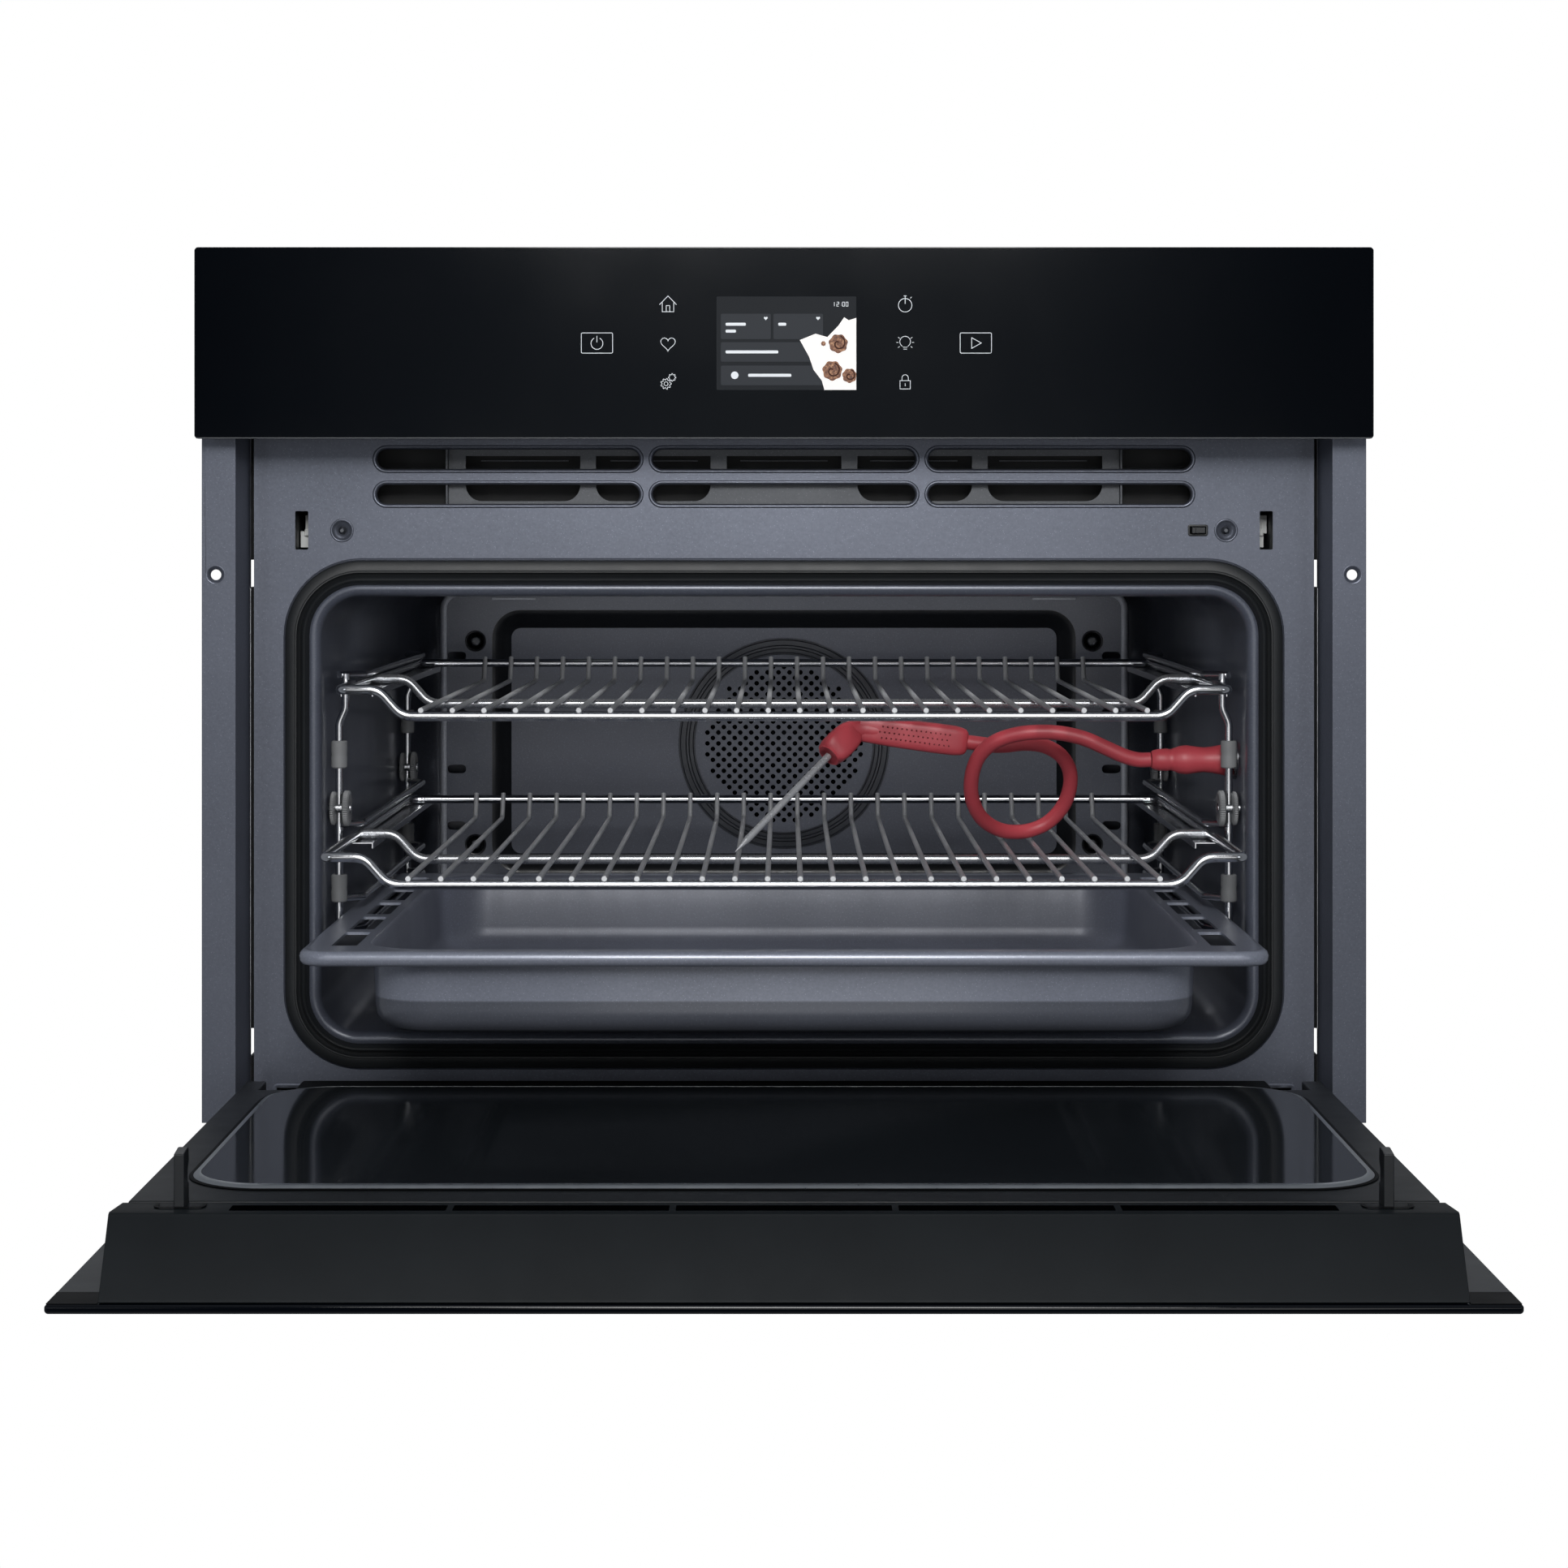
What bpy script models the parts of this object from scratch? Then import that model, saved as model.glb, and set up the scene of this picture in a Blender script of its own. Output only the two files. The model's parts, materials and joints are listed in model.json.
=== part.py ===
"""A compact built-in oven with its door open and its racks pulled out in steps.

Metres, +Z up. X runs to the right, Y runs into the cabinet, and Z = 0 is the plane that the
base stands on. Y = 0 is the cabinet's front plane, where the mounting flanges rest.
"""

import math

import bmesh
import bpy
from mathutils import Matrix, Vector

# Driving dimensions.
GAP = 0.0004  # between pieces that touch
SHEET = 0.0012  # chassis sheet metal
FRONT_WIDTH = 0.596
FRONT_Y = -0.020  # outer face of the control panel, and of the closed door
PANEL_LOW, PANEL_HIGH = 0.3692, 0.466
DOOR_LOW, DOOR_HIGH = 0.008, 0.365  # outer glass when the door is closed
CHASSIS_WIDTH, CHASSIS_HEIGHT, CHASSIS_BACK = 0.556, 0.446, 0.545
BASE_FRONT = 0.014
FRAME_Y, FRAME_SHEET = 0.025, 0.0015  # the recessed front frame
FRAME_WIDTH, FRAME_LOW, FRAME_HIGH = 0.549, 0.012, 0.438
FLANGE_IN, FLANGE_OUT, FLANGE_THICK = 0.2788, 0.2974, 0.0025
FLANGE_LOW, FLANGE_HIGH = 0.0202, 0.438

MOUTH_WIDTH, MOUTH_LOW, MOUTH_HIGH, MOUTH_RADIUS = 0.482, 0.0619, 0.2896, 0.021
CAVITY_BACK, BAFFLE_Y = 0.432, 0.398
FAN_Z = 0.1877
GASKET_WIDTH, GASKET_LOW, GASKET_HIGH, GASKET_RADIUS = 0.517, 0.0442, 0.3069, 0.039
GASKET_BAND, GASKET_FRONT = 0.0125, 0.0182

HINGE_Y, HINGE_Z, HINGE_X = -0.0035, 0.0228, 0.255
GLASS = 0.004
DOOR_INNER = 0.042  # top of the open door's inner frame
LATCH_X, LATCH_Z = 0.2505, 0.323

RACK_HALF, RACK_DEPTH, RACK_RISE = 0.2275, 0.350, 0.0136
RAIL_RADIUS, ROD_RADIUS = 0.0025, 0.0014
RACK_RODS, ROD_PITCH = 24, 0.0161
UPPER_FRONT, UPPER_Z = -0.004, 0.228
LOWER_FRONT, LOWER_Z = -0.0586, 0.148
TRAY_FRONT, TRAY_DEPTH, TRAY_HALF = -0.1175, 0.356, 0.2285
TRAY_RIM_Z, TRAY_FLOOR_Z, TRAY_WELL_HALF = 0.1235, 0.0845, 0.193
PROBE_Y, PROBE_Z = 0.066, 0.201

ARC_STEPS = 4  # points on each quarter of a rounded outline


# ---------------------------------------------------------------- scene and materials

for old in list(bpy.data.objects):
    bpy.data.objects.remove(old, do_unlink=True)

PARTS = bpy.data.collections.new("wall_oven")
TOOLS = bpy.data.collections.new("cutters")
for made in (PARTS, TOOLS):
    bpy.context.scene.collection.children.link(made)


def finish(name, colour, roughness, metallic=0.0):
    material = bpy.data.materials.new(name)
    material.use_nodes = True
    shader = material.node_tree.nodes["Principled BSDF"]
    shader.inputs["Base Color"].default_value = (*colour, 1.0)
    shader.inputs["Roughness"].default_value = roughness
    shader.inputs["Metallic"].default_value = metallic
    return material


GALVANISED = finish("galvanised_steel", (0.42, 0.43, 0.44), 0.45, 1.0)
FRAME_STEEL = finish("painted_frame", (0.12, 0.13, 0.14), 0.35, 0.4)
ENAMEL = finish("grey_enamel", (0.13, 0.14, 0.16), 0.25, 0.3)
BLACK_GLASS = finish("black_glass", (0.010, 0.012, 0.014), 0.05)
CLEAR_GLASS = finish("door_glass", (0.05, 0.06, 0.07), 0.03)
BLACK_PLASTIC = finish("black_plastic", (0.02, 0.022, 0.024), 0.4)
GREY_PLASTIC = finish("grey_plastic", (0.35, 0.36, 0.37), 0.5)
SILICONE = finish("black_silicone", (0.015, 0.016, 0.018), 0.6)
RED_SILICONE = finish("red_silicone", (0.38, 0.03, 0.04), 0.55)
CHROME = finish("chrome_wire", (0.75, 0.76, 0.78), 0.12, 1.0)
STAINLESS = finish("stainless_steel", (0.55, 0.56, 0.57), 0.25, 1.0)
WOOL = finish("glass_wool", (0.75, 0.68, 0.45), 0.95)
BOARD = finish("circuit_board", (0.02, 0.12, 0.05), 0.5)
ELEMENT = finish("heater_sheath", (0.10, 0.10, 0.11), 0.4, 0.8)
SCREEN = finish("display", (0.03, 0.04, 0.05), 0.1)


# ---------------------------------------------------------------- makers

def add_mesh(name, bm, material=None, tool=False):
    """An object from a bmesh. A tool is a cutter or a piece that is joined to another."""
    bmesh.ops.recalc_face_normals(bm, faces=bm.faces)
    if all(edge.is_manifold for edge in bm.edges) and bm.calc_volume(signed=True) < 0:
        bmesh.ops.reverse_faces(bm, faces=bm.faces)
    mesh = bpy.data.meshes.new(name)
    bm.to_mesh(mesh)
    bm.free()
    made = bpy.data.objects.new(name, mesh)
    (TOOLS if tool else PARTS).objects.link(made)
    if tool:
        made.hide_render = True
        made.display_type = "WIRE"
    if material:
        mesh.materials.append(material)
    return made


def smooth(made, degrees=35):
    made.data.shade_smooth()
    made.data.set_sharp_from_angle(angle=math.radians(degrees))
    return made


def box_mesh(bm, low, high):
    low, high = Vector(low), Vector(high)
    size = Matrix.Diagonal((*(high - low), 1.0))
    bmesh.ops.create_cube(bm, size=1.0, matrix=Matrix.Translation((low + high) / 2) @ size)


def box(name, low, high, material=None, bevel=0.0, segments=1, tool=False):
    bm = bmesh.new()
    box_mesh(bm, low, high)
    made = add_mesh(name, bm, material, tool)
    if bevel:
        edge = made.modifiers.new("Bevel", "BEVEL")
        edge.width = bevel
        edge.segments = segments
    return made


TURNS = {
    "x": Matrix.Rotation(math.pi / 2, 4, "Y"),
    "y": Matrix.Rotation(-math.pi / 2, 4, "X"),
    "z": Matrix.Identity(4),
}


def cylinder_mesh(bm, centre, axis, radius, length, sides, far_radius=None):
    bmesh.ops.create_cone(
        bm, cap_ends=True, segments=sides, radius1=radius,
        radius2=radius if far_radius is None else far_radius, depth=length,
        matrix=Matrix.Translation(centre) @ TURNS[axis])


def cylinder(name, centre, axis, radius, length, material=None, sides=24, tool=False, far=None):
    bm = bmesh.new()
    cylinder_mesh(bm, centre, axis, radius, length, sides, far)
    return smooth(add_mesh(name, bm, material, tool))


def many(name, builders):
    """One tool made of separate closed shapes, each drawn by a function that takes a bmesh."""
    bm = bmesh.new()
    for build in builders:
        build(bm)
    return add_mesh(name, bm, tool=True)


def boxes_tool(name, corners):
    return many(name, [lambda bm, pair=pair: box_mesh(bm, *pair) for pair in corners])


def boolean(made, operation, tool):
    change = made.modifiers.new(operation.title(), "BOOLEAN")
    change.operation = operation
    change.solver = "EXACT"
    change.object = tool
    return made


def cut(made, tool):
    return boolean(made, "DIFFERENCE", tool)


def fuse(made, pieces):
    """Joins every piece to the first solid, so that they are one body."""
    group = bpy.data.collections.new(made.name + "_pieces")
    TOOLS.children.link(group)
    for piece in pieces:
        TOOLS.objects.unlink(piece)
        group.objects.link(piece)
    change = made.modifiers.new("Union", "BOOLEAN")
    change.operation = "UNION"
    change.solver = "EXACT"
    change.operand_type = "COLLECTION"
    change.collection = group
    return made


def curve_to_mesh(name, curve, matrix, material, tool):
    """A curve as a closed mesh, with its caps welded to its sides."""
    source = bpy.data.objects.new(name + "_curve", curve)
    source.matrix_world = matrix
    bpy.context.scene.collection.objects.link(source)
    bpy.context.view_layer.update()
    graph = bpy.context.evaluated_depsgraph_get()
    mesh = bpy.data.meshes.new_from_object(source.evaluated_get(graph))
    bm = bmesh.new()
    bm.from_mesh(mesh)
    bmesh.ops.remove_doubles(bm, verts=bm.verts, dist=1e-6)
    bm.transform(source.matrix_world)
    bpy.data.objects.remove(source, do_unlink=True)
    bpy.data.curves.remove(curve)
    bpy.data.meshes.remove(mesh)
    return smooth(add_mesh(name, bm, material, tool))


def wire(name, points, radius, material=None, closed=False, rounding=2, tool=True):
    """A round wire along the points, with 4 + 2 * rounding sides."""
    curve = bpy.data.curves.new(name, "CURVE")
    curve.dimensions = "3D"
    curve.bevel_depth = radius
    curve.bevel_resolution = rounding
    curve.use_fill_caps = True
    spline = curve.splines.new("POLY")
    spline.points.add(len(points) - 1)
    for point, place in zip(spline.points, points):
        point.co = (*place, 1.0)
    spline.use_cyclic_u = closed
    return curve_to_mesh(name, curve, Matrix.Identity(4), material, tool)


PLANES = {  # where a flat outline's own X, Y and Z go
    "front": Matrix(((1, 0, 0, 0), (0, 0, -1, 0), (0, 1, 0, 0), (0, 0, 0, 1))),
    "top": Matrix.Identity(4),
    "side": Matrix(((0, 0, 1, 0), (1, 0, 0, 0), (0, 1, 0, 0), (0, 0, 0, 1))),
}


def plate(name, loops, plane, centre, thickness, material=None, tool=False):
    """A flat sheet with holes: the first loop is its outline and the others are holes."""
    curve = bpy.data.curves.new(name, "CURVE")
    curve.dimensions = "2D"
    curve.fill_mode = "BOTH"
    curve.extrude = thickness / 2
    for loop in loops:
        spline = curve.splines.new("POLY")
        spline.points.add(len(loop) - 1)
        for point, (u, w) in zip(spline.points, loop):
            point.co = (u, w, 0.0, 1.0)
        spline.use_cyclic_u = True
    return curve_to_mesh(name, curve, Matrix.Translation(centre) @ PLANES[plane], material, tool)


def rounded(width, low, high, radius, middle=0.0, steps=ARC_STEPS):
    """A rounded rectangle as (across, up) points, counter-clockwise."""
    points = []
    corners = ((1, 1, 0), (-1, 1, 90), (-1, -1, 180), (1, -1, 270))
    for side, up, start in corners:
        across = middle + side * (width / 2 - radius)
        height = high - radius if up > 0 else low + radius
        for step in range(steps + 1):
            angle = math.radians(start + 90 * step / steps)
            points.append((across + radius * math.cos(angle), height + radius * math.sin(angle)))
    return points


def slot(middle, height, length, width, steps=3):
    """A slot with round ends, lying along the first axis."""
    half = width / 2 - 1e-5
    return rounded(length, height - width / 2, height + width / 2, half, middle, steps)


def circle(middle, height, radius, sides=16):
    turn = 2 * math.pi / sides
    return [(middle + radius * math.cos(turn * i), height + radius * math.sin(turn * i))
            for i in range(sides)]


def rectangle(left, right, low, high):
    return [(left, low), (right, low), (right, high), (left, high)]


def loft(name, sections, material, wall, offset, capped=True):
    """An open shell through loops of equal length, (y, loop) each, with a wall thickness."""
    bm = bmesh.new()
    rings = [[bm.verts.new((u, y, w)) for u, w in loop] for y, loop in sections]
    for near, far in zip(rings, rings[1:]):
        count = len(near)
        for i in range(count):
            bm.faces.new((near[i], near[(i + 1) % count], far[(i + 1) % count], far[i]))
    if capped:
        bm.faces.new(rings[-1])
    made = add_mesh(name, bm, material)
    shell = made.modifiers.new("Solidify", "SOLIDIFY")
    shell.thickness = wall
    shell.offset = offset
    return smooth(made)


def mirrored(points):
    return [(-x, y, z) for x, y, z in points]


SIDES = (("left", -1), ("right", 1))


def sided(sign, low, high):
    """The low and high corners of a box drawn on the right, moved to the side that sign says."""
    if sign > 0:
        return low, high
    return (-high[0], low[1], low[2]), (-low[0], high[1], high[2])


# ---------------------------------------------------------------- chassis

def make_base_pan():
    half = CHASSIS_WIDTH / 2 - 2 * SHEET
    low, high = (-half, BASE_FRONT, 0.0), (half, CHASSIS_BACK - 2 * SHEET, 0.010)
    made = box("base_pan", low, high, GALVANISED)
    inner_low = (low[0] + SHEET, low[1] + SHEET, SHEET)
    inner_high = (high[0] - SHEET, high[1] - SHEET, high[2] + 0.01)
    vents = [((x - 0.02, y, -0.01), (x + 0.02, y + 0.005, 0.02))
             for x in (-0.15, 0.15) for y in (0.30, 0.32, 0.34)]
    cut(made, boxes_tool("base_pan_hollow", [(inner_low, inner_high)]))
    return cut(made, boxes_tool("base_pan_vents", vents))


def make_side_panels():
    for side, sign in SIDES:
        low, high = sided(sign, (CHASSIS_WIDTH / 2 - SHEET, FRAME_Y - 0.0005, 0.0),
                          (CHASSIS_WIDTH / 2, CHASSIS_BACK - SHEET - GAP, CHASSIS_HEIGHT - SHEET - GAP))
        made = box(side + "_side_panel", low, high, GALVANISED)
        holes = [((-0.3, y, 0.405), (0.3, y + 0.004, 0.43)) for y in (0.36, 0.375, 0.39, 0.405)]
        holes += [((-0.3, 0.0240, z), (0.3, 0.0500, z + 0.0141)) for z in (0.0498, 0.2936)]
        cut(made, boxes_tool(side + "_panel_holes", holes))


def make_top_cover():
    loops = [rectangle(-CHASSIS_WIDTH / 2, CHASSIS_WIDTH / 2, FRAME_Y, CHASSIS_BACK - SHEET - GAP)]
    for row in range(3):
        loops.append(slot(0.0, 0.36 + 0.022 * row, 0.12, 0.006))
    centre = (0, 0, CHASSIS_HEIGHT - SHEET / 2)
    plate("top_cover", loops, "top", centre, SHEET, GALVANISED)


def make_rear_panel():
    half = CHASSIS_WIDTH / 2
    loops = [rectangle(-half, half, 0.0, CHASSIS_HEIGHT), circle(0.18, 0.41, 0.011)]
    for row in range(4):
        loops.append(slot(-0.11, 0.16 + 0.02 * row, 0.11, 0.006))
        loops.append(slot(0.11, 0.16 + 0.02 * row, 0.11, 0.006))
    plate("rear_panel", loops, "front", (0, CHASSIS_BACK - SHEET / 2, 0), SHEET, GALVANISED)


def make_front_frame():
    """The recessed frame that the door closes against, with its vents and latch slots."""
    half = FRAME_WIDTH / 2
    loops = [rectangle(-half, half, FRAME_LOW, FRAME_HIGH),
             rounded(MOUTH_WIDTH + 0.010, MOUTH_LOW - 0.005, MOUTH_HIGH + 0.005,
                     MOUTH_RADIUS + 0.005)]
    for row_z, width in ((0.360, 0.0117), (0.3417, 0.0114)):
        loops += [slot(column * 0.1433, row_z, 0.138, width) for column in (-1, 0, 1)]
    for _, sign in SIDES:
        middle = sign * LATCH_X
        loops.append(rectangle(middle - 0.0033, middle + 0.0033, LATCH_Z - 0.010, LATCH_Z + 0.010))
        loops.append(circle(sign * 0.2296, LATCH_Z, 0.004, 12))
        middle = sign * HINGE_X
        loops.append(rectangle(middle - 0.0085, middle + 0.0085, 0.0135, 0.0335))
    loops.append(rectangle(0.2090, 0.2210, 0.3190, 0.3270))
    plate("front_frame", loops, "front", (0, FRAME_Y + FRAME_SHEET / 2, 0), FRAME_SHEET, FRAME_STEEL)


def make_flanges():
    """The outward flanges that are screwed to the cabinet, each with its return wall."""
    for side, sign in SIDES:
        low, high = sided(sign, (FLANGE_IN, -FLANGE_THICK, FLANGE_LOW),
                          (FLANGE_OUT, 0.0, FLANGE_HIGH))
        made = box(side + "_mounting_flange", low, high, FRAME_STEEL)
        low, high = sided(sign, (FLANGE_IN - 0.0015, -FLANGE_THICK, FLANGE_LOW),
                          (FLANGE_IN + 0.0005, FRAME_Y - 0.0015, FLANGE_HIGH))
        fuse(made, [box(side + "_return", low, high, tool=True)])
        hole = many(side + "_flange_hole", [
            lambda bm: cylinder_mesh(
                bm, (sign * 0.2904, -0.001, 0.3002), "y", 0.0027, 0.02, 16)])
        cut(made, hole)


# ---------------------------------------------------------------- cavity

def make_cavity_liner():
    """The enamelled muffle: a lip round the mouth, straight walls and a closed back."""
    sections = []
    for grow, y in ((0.0034, FRAME_Y - 0.0012), (0.0015, FRAME_Y - 0.0024), (0.0, FRAME_Y - 0.0008),
                    (0.0, 0.410), (-0.016, CAVITY_BACK)):
        sections.append((y, rounded(MOUTH_WIDTH + 2 * grow, MOUTH_LOW - grow, MOUTH_HIGH + grow,
                                    MOUTH_RADIUS + grow)))
    made = loft("cavity_liner", sections, ENAMEL, 0.0012, 1.0)
    holes = many("liner_holes", [
        lambda bm: cylinder_mesh(bm, (0, CAVITY_BACK, FAN_Z), "y", 0.012, 0.03, 20),
        lambda bm: cylinder_mesh(bm, (0.245, PROBE_Y, PROBE_Z), "x", 0.0090, 0.03, 20),
        lambda bm: cylinder_mesh(bm, (-0.120, 0.350, MOUTH_HIGH), "z", 0.0225, 0.03, 20),
    ])
    return cut(made, holes)


def make_fan_baffle():
    """The back guard, with a dished centre and a round field of air holes."""
    loops = [rounded(0.434, 0.066, 0.284, 0.010)]
    loops += [circle(0.0, FAN_Z, 0.0045, 10)]
    for ring_radius, count in ((0.016, 6), (0.034, 12)):
        for i in range(count):
            angle = 2 * math.pi * i / count
            loops.append(circle(ring_radius * math.cos(angle),
                                FAN_Z + ring_radius * math.sin(angle), 0.0050, 8))
    for _, sign in SIDES:
        for row in range(5):
            loops.append(slot(sign * 0.206, 0.100 + 0.036 * row, 0.012, 0.006, 2))
        for z in (0.1239, 0.2535):
            loops.append(circle(sign * 0.1965, z, 0.0026, 10))
    made = plate("fan_baffle", loops, "front", (0, BAFFLE_Y + 0.0008, 0), 0.0016, ENAMEL)
    for number, (x, z) in enumerate(((-1, 0.2535), (1, 0.2535), (-1, 0.1239), (1, 0.1239)), 1):
        make_baffle_screw("baffle_screw_%d" % number, x * 0.1965, z)
    return made


def make_baffle_screw(name, x, z):
    made = cylinder(name, (x, BAFFLE_Y - 0.0013, z), "y", 0.0050, 0.0018, STAINLESS, 12)
    shank = cylinder(name + "_shank", (x, BAFFLE_Y + 0.006, z), "y", 0.0021, 0.014, sides=8, tool=True)
    fuse(made, [shank])
    socket = cylinder(name + "_socket", (x, BAFFLE_Y - 0.0025, z), "y", 0.0019, 0.0028, sides=6, tool=True)
    return cut(made, socket)


def make_fan():
    """The convection fan behind the baffle: blades, motor and ring heater."""
    wheel = cylinder("fan_impeller", (0, 0.4225, FAN_Z), "y", 0.072, 0.0015, STAINLESS, 32)
    blades = []
    for number in range(8):
        turn = Matrix.Translation((0, 0.4155, FAN_Z)) @ Matrix.Rotation(
            2 * math.pi * number / 8, 4, "Y") @ Matrix.Rotation(math.radians(25), 4, "Y")
        blade = box("blade_%d" % number, (0.030, -0.0065, -0.0007), (0.068, 0.0068, 0.0007), tool=True)
        blade.data.transform(Matrix.Translation((0, 0, 0.012)))
        blade.data.transform(turn)
        blades.append(blade)
    blades.append(cylinder("fan_hub", (0, 0.4165, FAN_Z), "y", 0.011, 0.012, sides=16, tool=True))
    fuse(wheel, blades)
    cut(wheel, cylinder("fan_bore", (0, 0.4240, FAN_Z), "y", 0.0034, 0.0080, sides=12, tool=True))
    motor = cylinder("fan_motor", (0, 0.474, FAN_Z), "y", 0.038, 0.056, GALVANISED, 24)
    fuse(motor, [cylinder("motor_boss", (0, 0.4415, FAN_Z), "y", 0.0105, 0.012, sides=16, tool=True),
                 cylinder("motor_shaft", (0, 0.4335, FAN_Z), "y", 0.0030, 0.0230, sides=12, tool=True),
                 box("motor_plate", (-0.055, 0.4450, FAN_Z - 0.012), (0.055, 0.4470, FAN_Z + 0.012),
                     tool=True)])
    ring = [(0.092 * math.cos(a), 0.4160, FAN_Z + 0.092 * math.sin(a))
            for a in (math.radians(-72 + 324 * i / 30) for i in range(31))]
    feet = [[(x, 0.4160, FAN_Z - 0.0875), (x, 0.4420, FAN_Z - 0.0875)] for x in (-0.0284, 0.0284)]
    element = wire("ring_element", ring, 0.0032, ELEMENT, tool=False)
    # The two tails pass through the liner's back wall in their own holes.
    fuse(element, [wire("ring_tail_%d" % i, foot, 0.0030) for i, foot in enumerate(feet)])
    liner = bpy.data.objects["cavity_liner"]
    cut(liner, many("tail_holes", [
        lambda bm, foot=foot: cylinder_mesh(
            bm, (foot[0][0], CAVITY_BACK, foot[0][2]), "y", 0.0042, 0.03, 12) for foot in feet]))


def make_grill_element():
    """The top heater: one tube folded into four runs, laid on the muffle's roof."""
    z, reach, points = 0.2984, 0.165, []
    rows = (0.110, 0.170, 0.230, 0.290)
    for number, y in enumerate(rows):
        ends = (-reach, reach) if number % 2 == 0 else (reach, -reach)
        points += [(ends[0] * 0.92, y, z), (ends[0], y + 0.006, z)] if number else [(ends[0], y, z)]
        if number < len(rows) - 1:
            points += [(ends[1] * 0.92, y, z), (ends[1], y + 0.006, z)]
        else:
            points.append((ends[1], y, z))
    wire("grill_element", points, 0.0032, ELEMENT, tool=False)


def make_insulation():
    """Glass wool wrapped round the muffle, open at both ends."""
    loops = [rounded(0.544, 0.0150, 0.3205, 0.030),
             rounded(MOUTH_WIDTH + 0.008, MOUTH_LOW - 0.004, MOUTH_HIGH + 0.004, MOUTH_RADIUS + 0.004)]
    made = plate("insulation_wrap", loops, "front", (0, 0.265, 0), 0.330, WOOL)
    cut(made, box("heater_pocket", (-0.176, 0.1010, 0.2900), (0.176, 0.3050, 0.3035), tool=True))
    return cut(made, cylinder("lamp_well", (-0.120, 0.350, 0.31), "z", 0.0300, 0.05, sides=20, tool=True))


def make_gasket():
    outer = rounded(GASKET_WIDTH, GASKET_LOW, GASKET_HIGH, GASKET_RADIUS)
    inner = rounded(GASKET_WIDTH - 2 * GASKET_BAND, GASKET_LOW + GASKET_BAND,
                    GASKET_HIGH - GASKET_BAND, GASKET_RADIUS - GASKET_BAND)
    depth = FRAME_Y - GAP - GASKET_FRONT
    plate("door_gasket", [outer, inner], "front", (0, GASKET_FRONT + depth / 2, 0), depth, SILICONE)


def make_oven_lamp():
    made = cylinder("oven_lamp", (-0.120, 0.350, 0.3050), "z", 0.0205, 0.034, GREY_PLASTIC, 20)
    fuse(made, [cylinder("lamp_collar", (-0.120, 0.350, 0.2935), "z", 0.0280, 0.0030, sides=20, tool=True)])


def side_rack_wires(sign):
    """The bent wires of one side rack: two uprights and the four wires that run along it."""
    x_up, x_guide = 0.2345, 0.2235
    front, back = 0.050, 0.352
    upright = [(x_up, front, 0.1110), (x_up, front, 0.2475)]
    rear = [(x_up, back, 0.1110), (x_up, back, 0.2475)]
    runs = [upright, rear]
    for z in (0.1125, 0.1290, 0.1680, 0.2467):
        runs.append([(x_up, front - 0.001, z), (x_guide, front + 0.012, z), (x_guide, back - 0.012, z),
                     (x_up, back + 0.001, z)])
    return [mirrored(run) if sign < 0 else run for run in runs]


def make_side_racks():
    """A wire rack on each wall, with two folded sheet runners welded to its uprights."""
    for side, sign in SIDES:
        runs = side_rack_wires(sign)
        made = wire(side + "_side_rack", runs[0], 0.0022, CHROME, tool=False)
        pieces = [wire("%s_rack_wire_%d" % (side, i), run, 0.0020) for i, run in enumerate(runs[1:])]
        for level, z in enumerate((0.2387, 0.1587)):
            low, high = sided(sign, (0.2165, 0.0495, z - 0.0036), (0.2340, 0.3780, z))
            pieces.append(box("%s_runner_%d" % (side, level), low, high, tool=True))
        fuse(made, pieces)


# ---------------------------------------------------------------- racks and tray

def make_wire_rack(name, front, z):
    """A shelf of 24 rods on a front and a middle rail, rising to the rear bar and side rails."""
    high, half = z + RACK_RISE, RACK_HALF
    back = front + RACK_DEPTH
    border = [(-half, front, high), (-0.207, front, high), (-0.195, front, z), (0.195, front, z),
              (0.207, front, high), (half, front, high), (half, back, high), (-half, back, high)]
    made = wire(name, border, RAIL_RADIUS, CHROME, closed=True, tool=False)
    middle = front + 0.125
    rail = [(-half, middle, high), (-0.207, middle, high), (-0.195, middle, z), (0.195, middle, z),
            (0.207, middle, high), (half, middle, high)]
    pieces = [wire(name + "_middle", rail, RAIL_RADIUS)]
    rod_z = z + 0.0030
    for number in range(RACK_RODS):
        x = (number - (RACK_RODS - 1) / 2) * ROD_PITCH
        path = [(x, front - 0.0012, rod_z), (x, back - 0.016, rod_z), (x, back + 0.0008, high + 0.0006)]
        pieces.append(wire("%s_rod_%d" % (name, number), path, ROD_RADIUS, rounding=1))
    return fuse(made, pieces)


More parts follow.
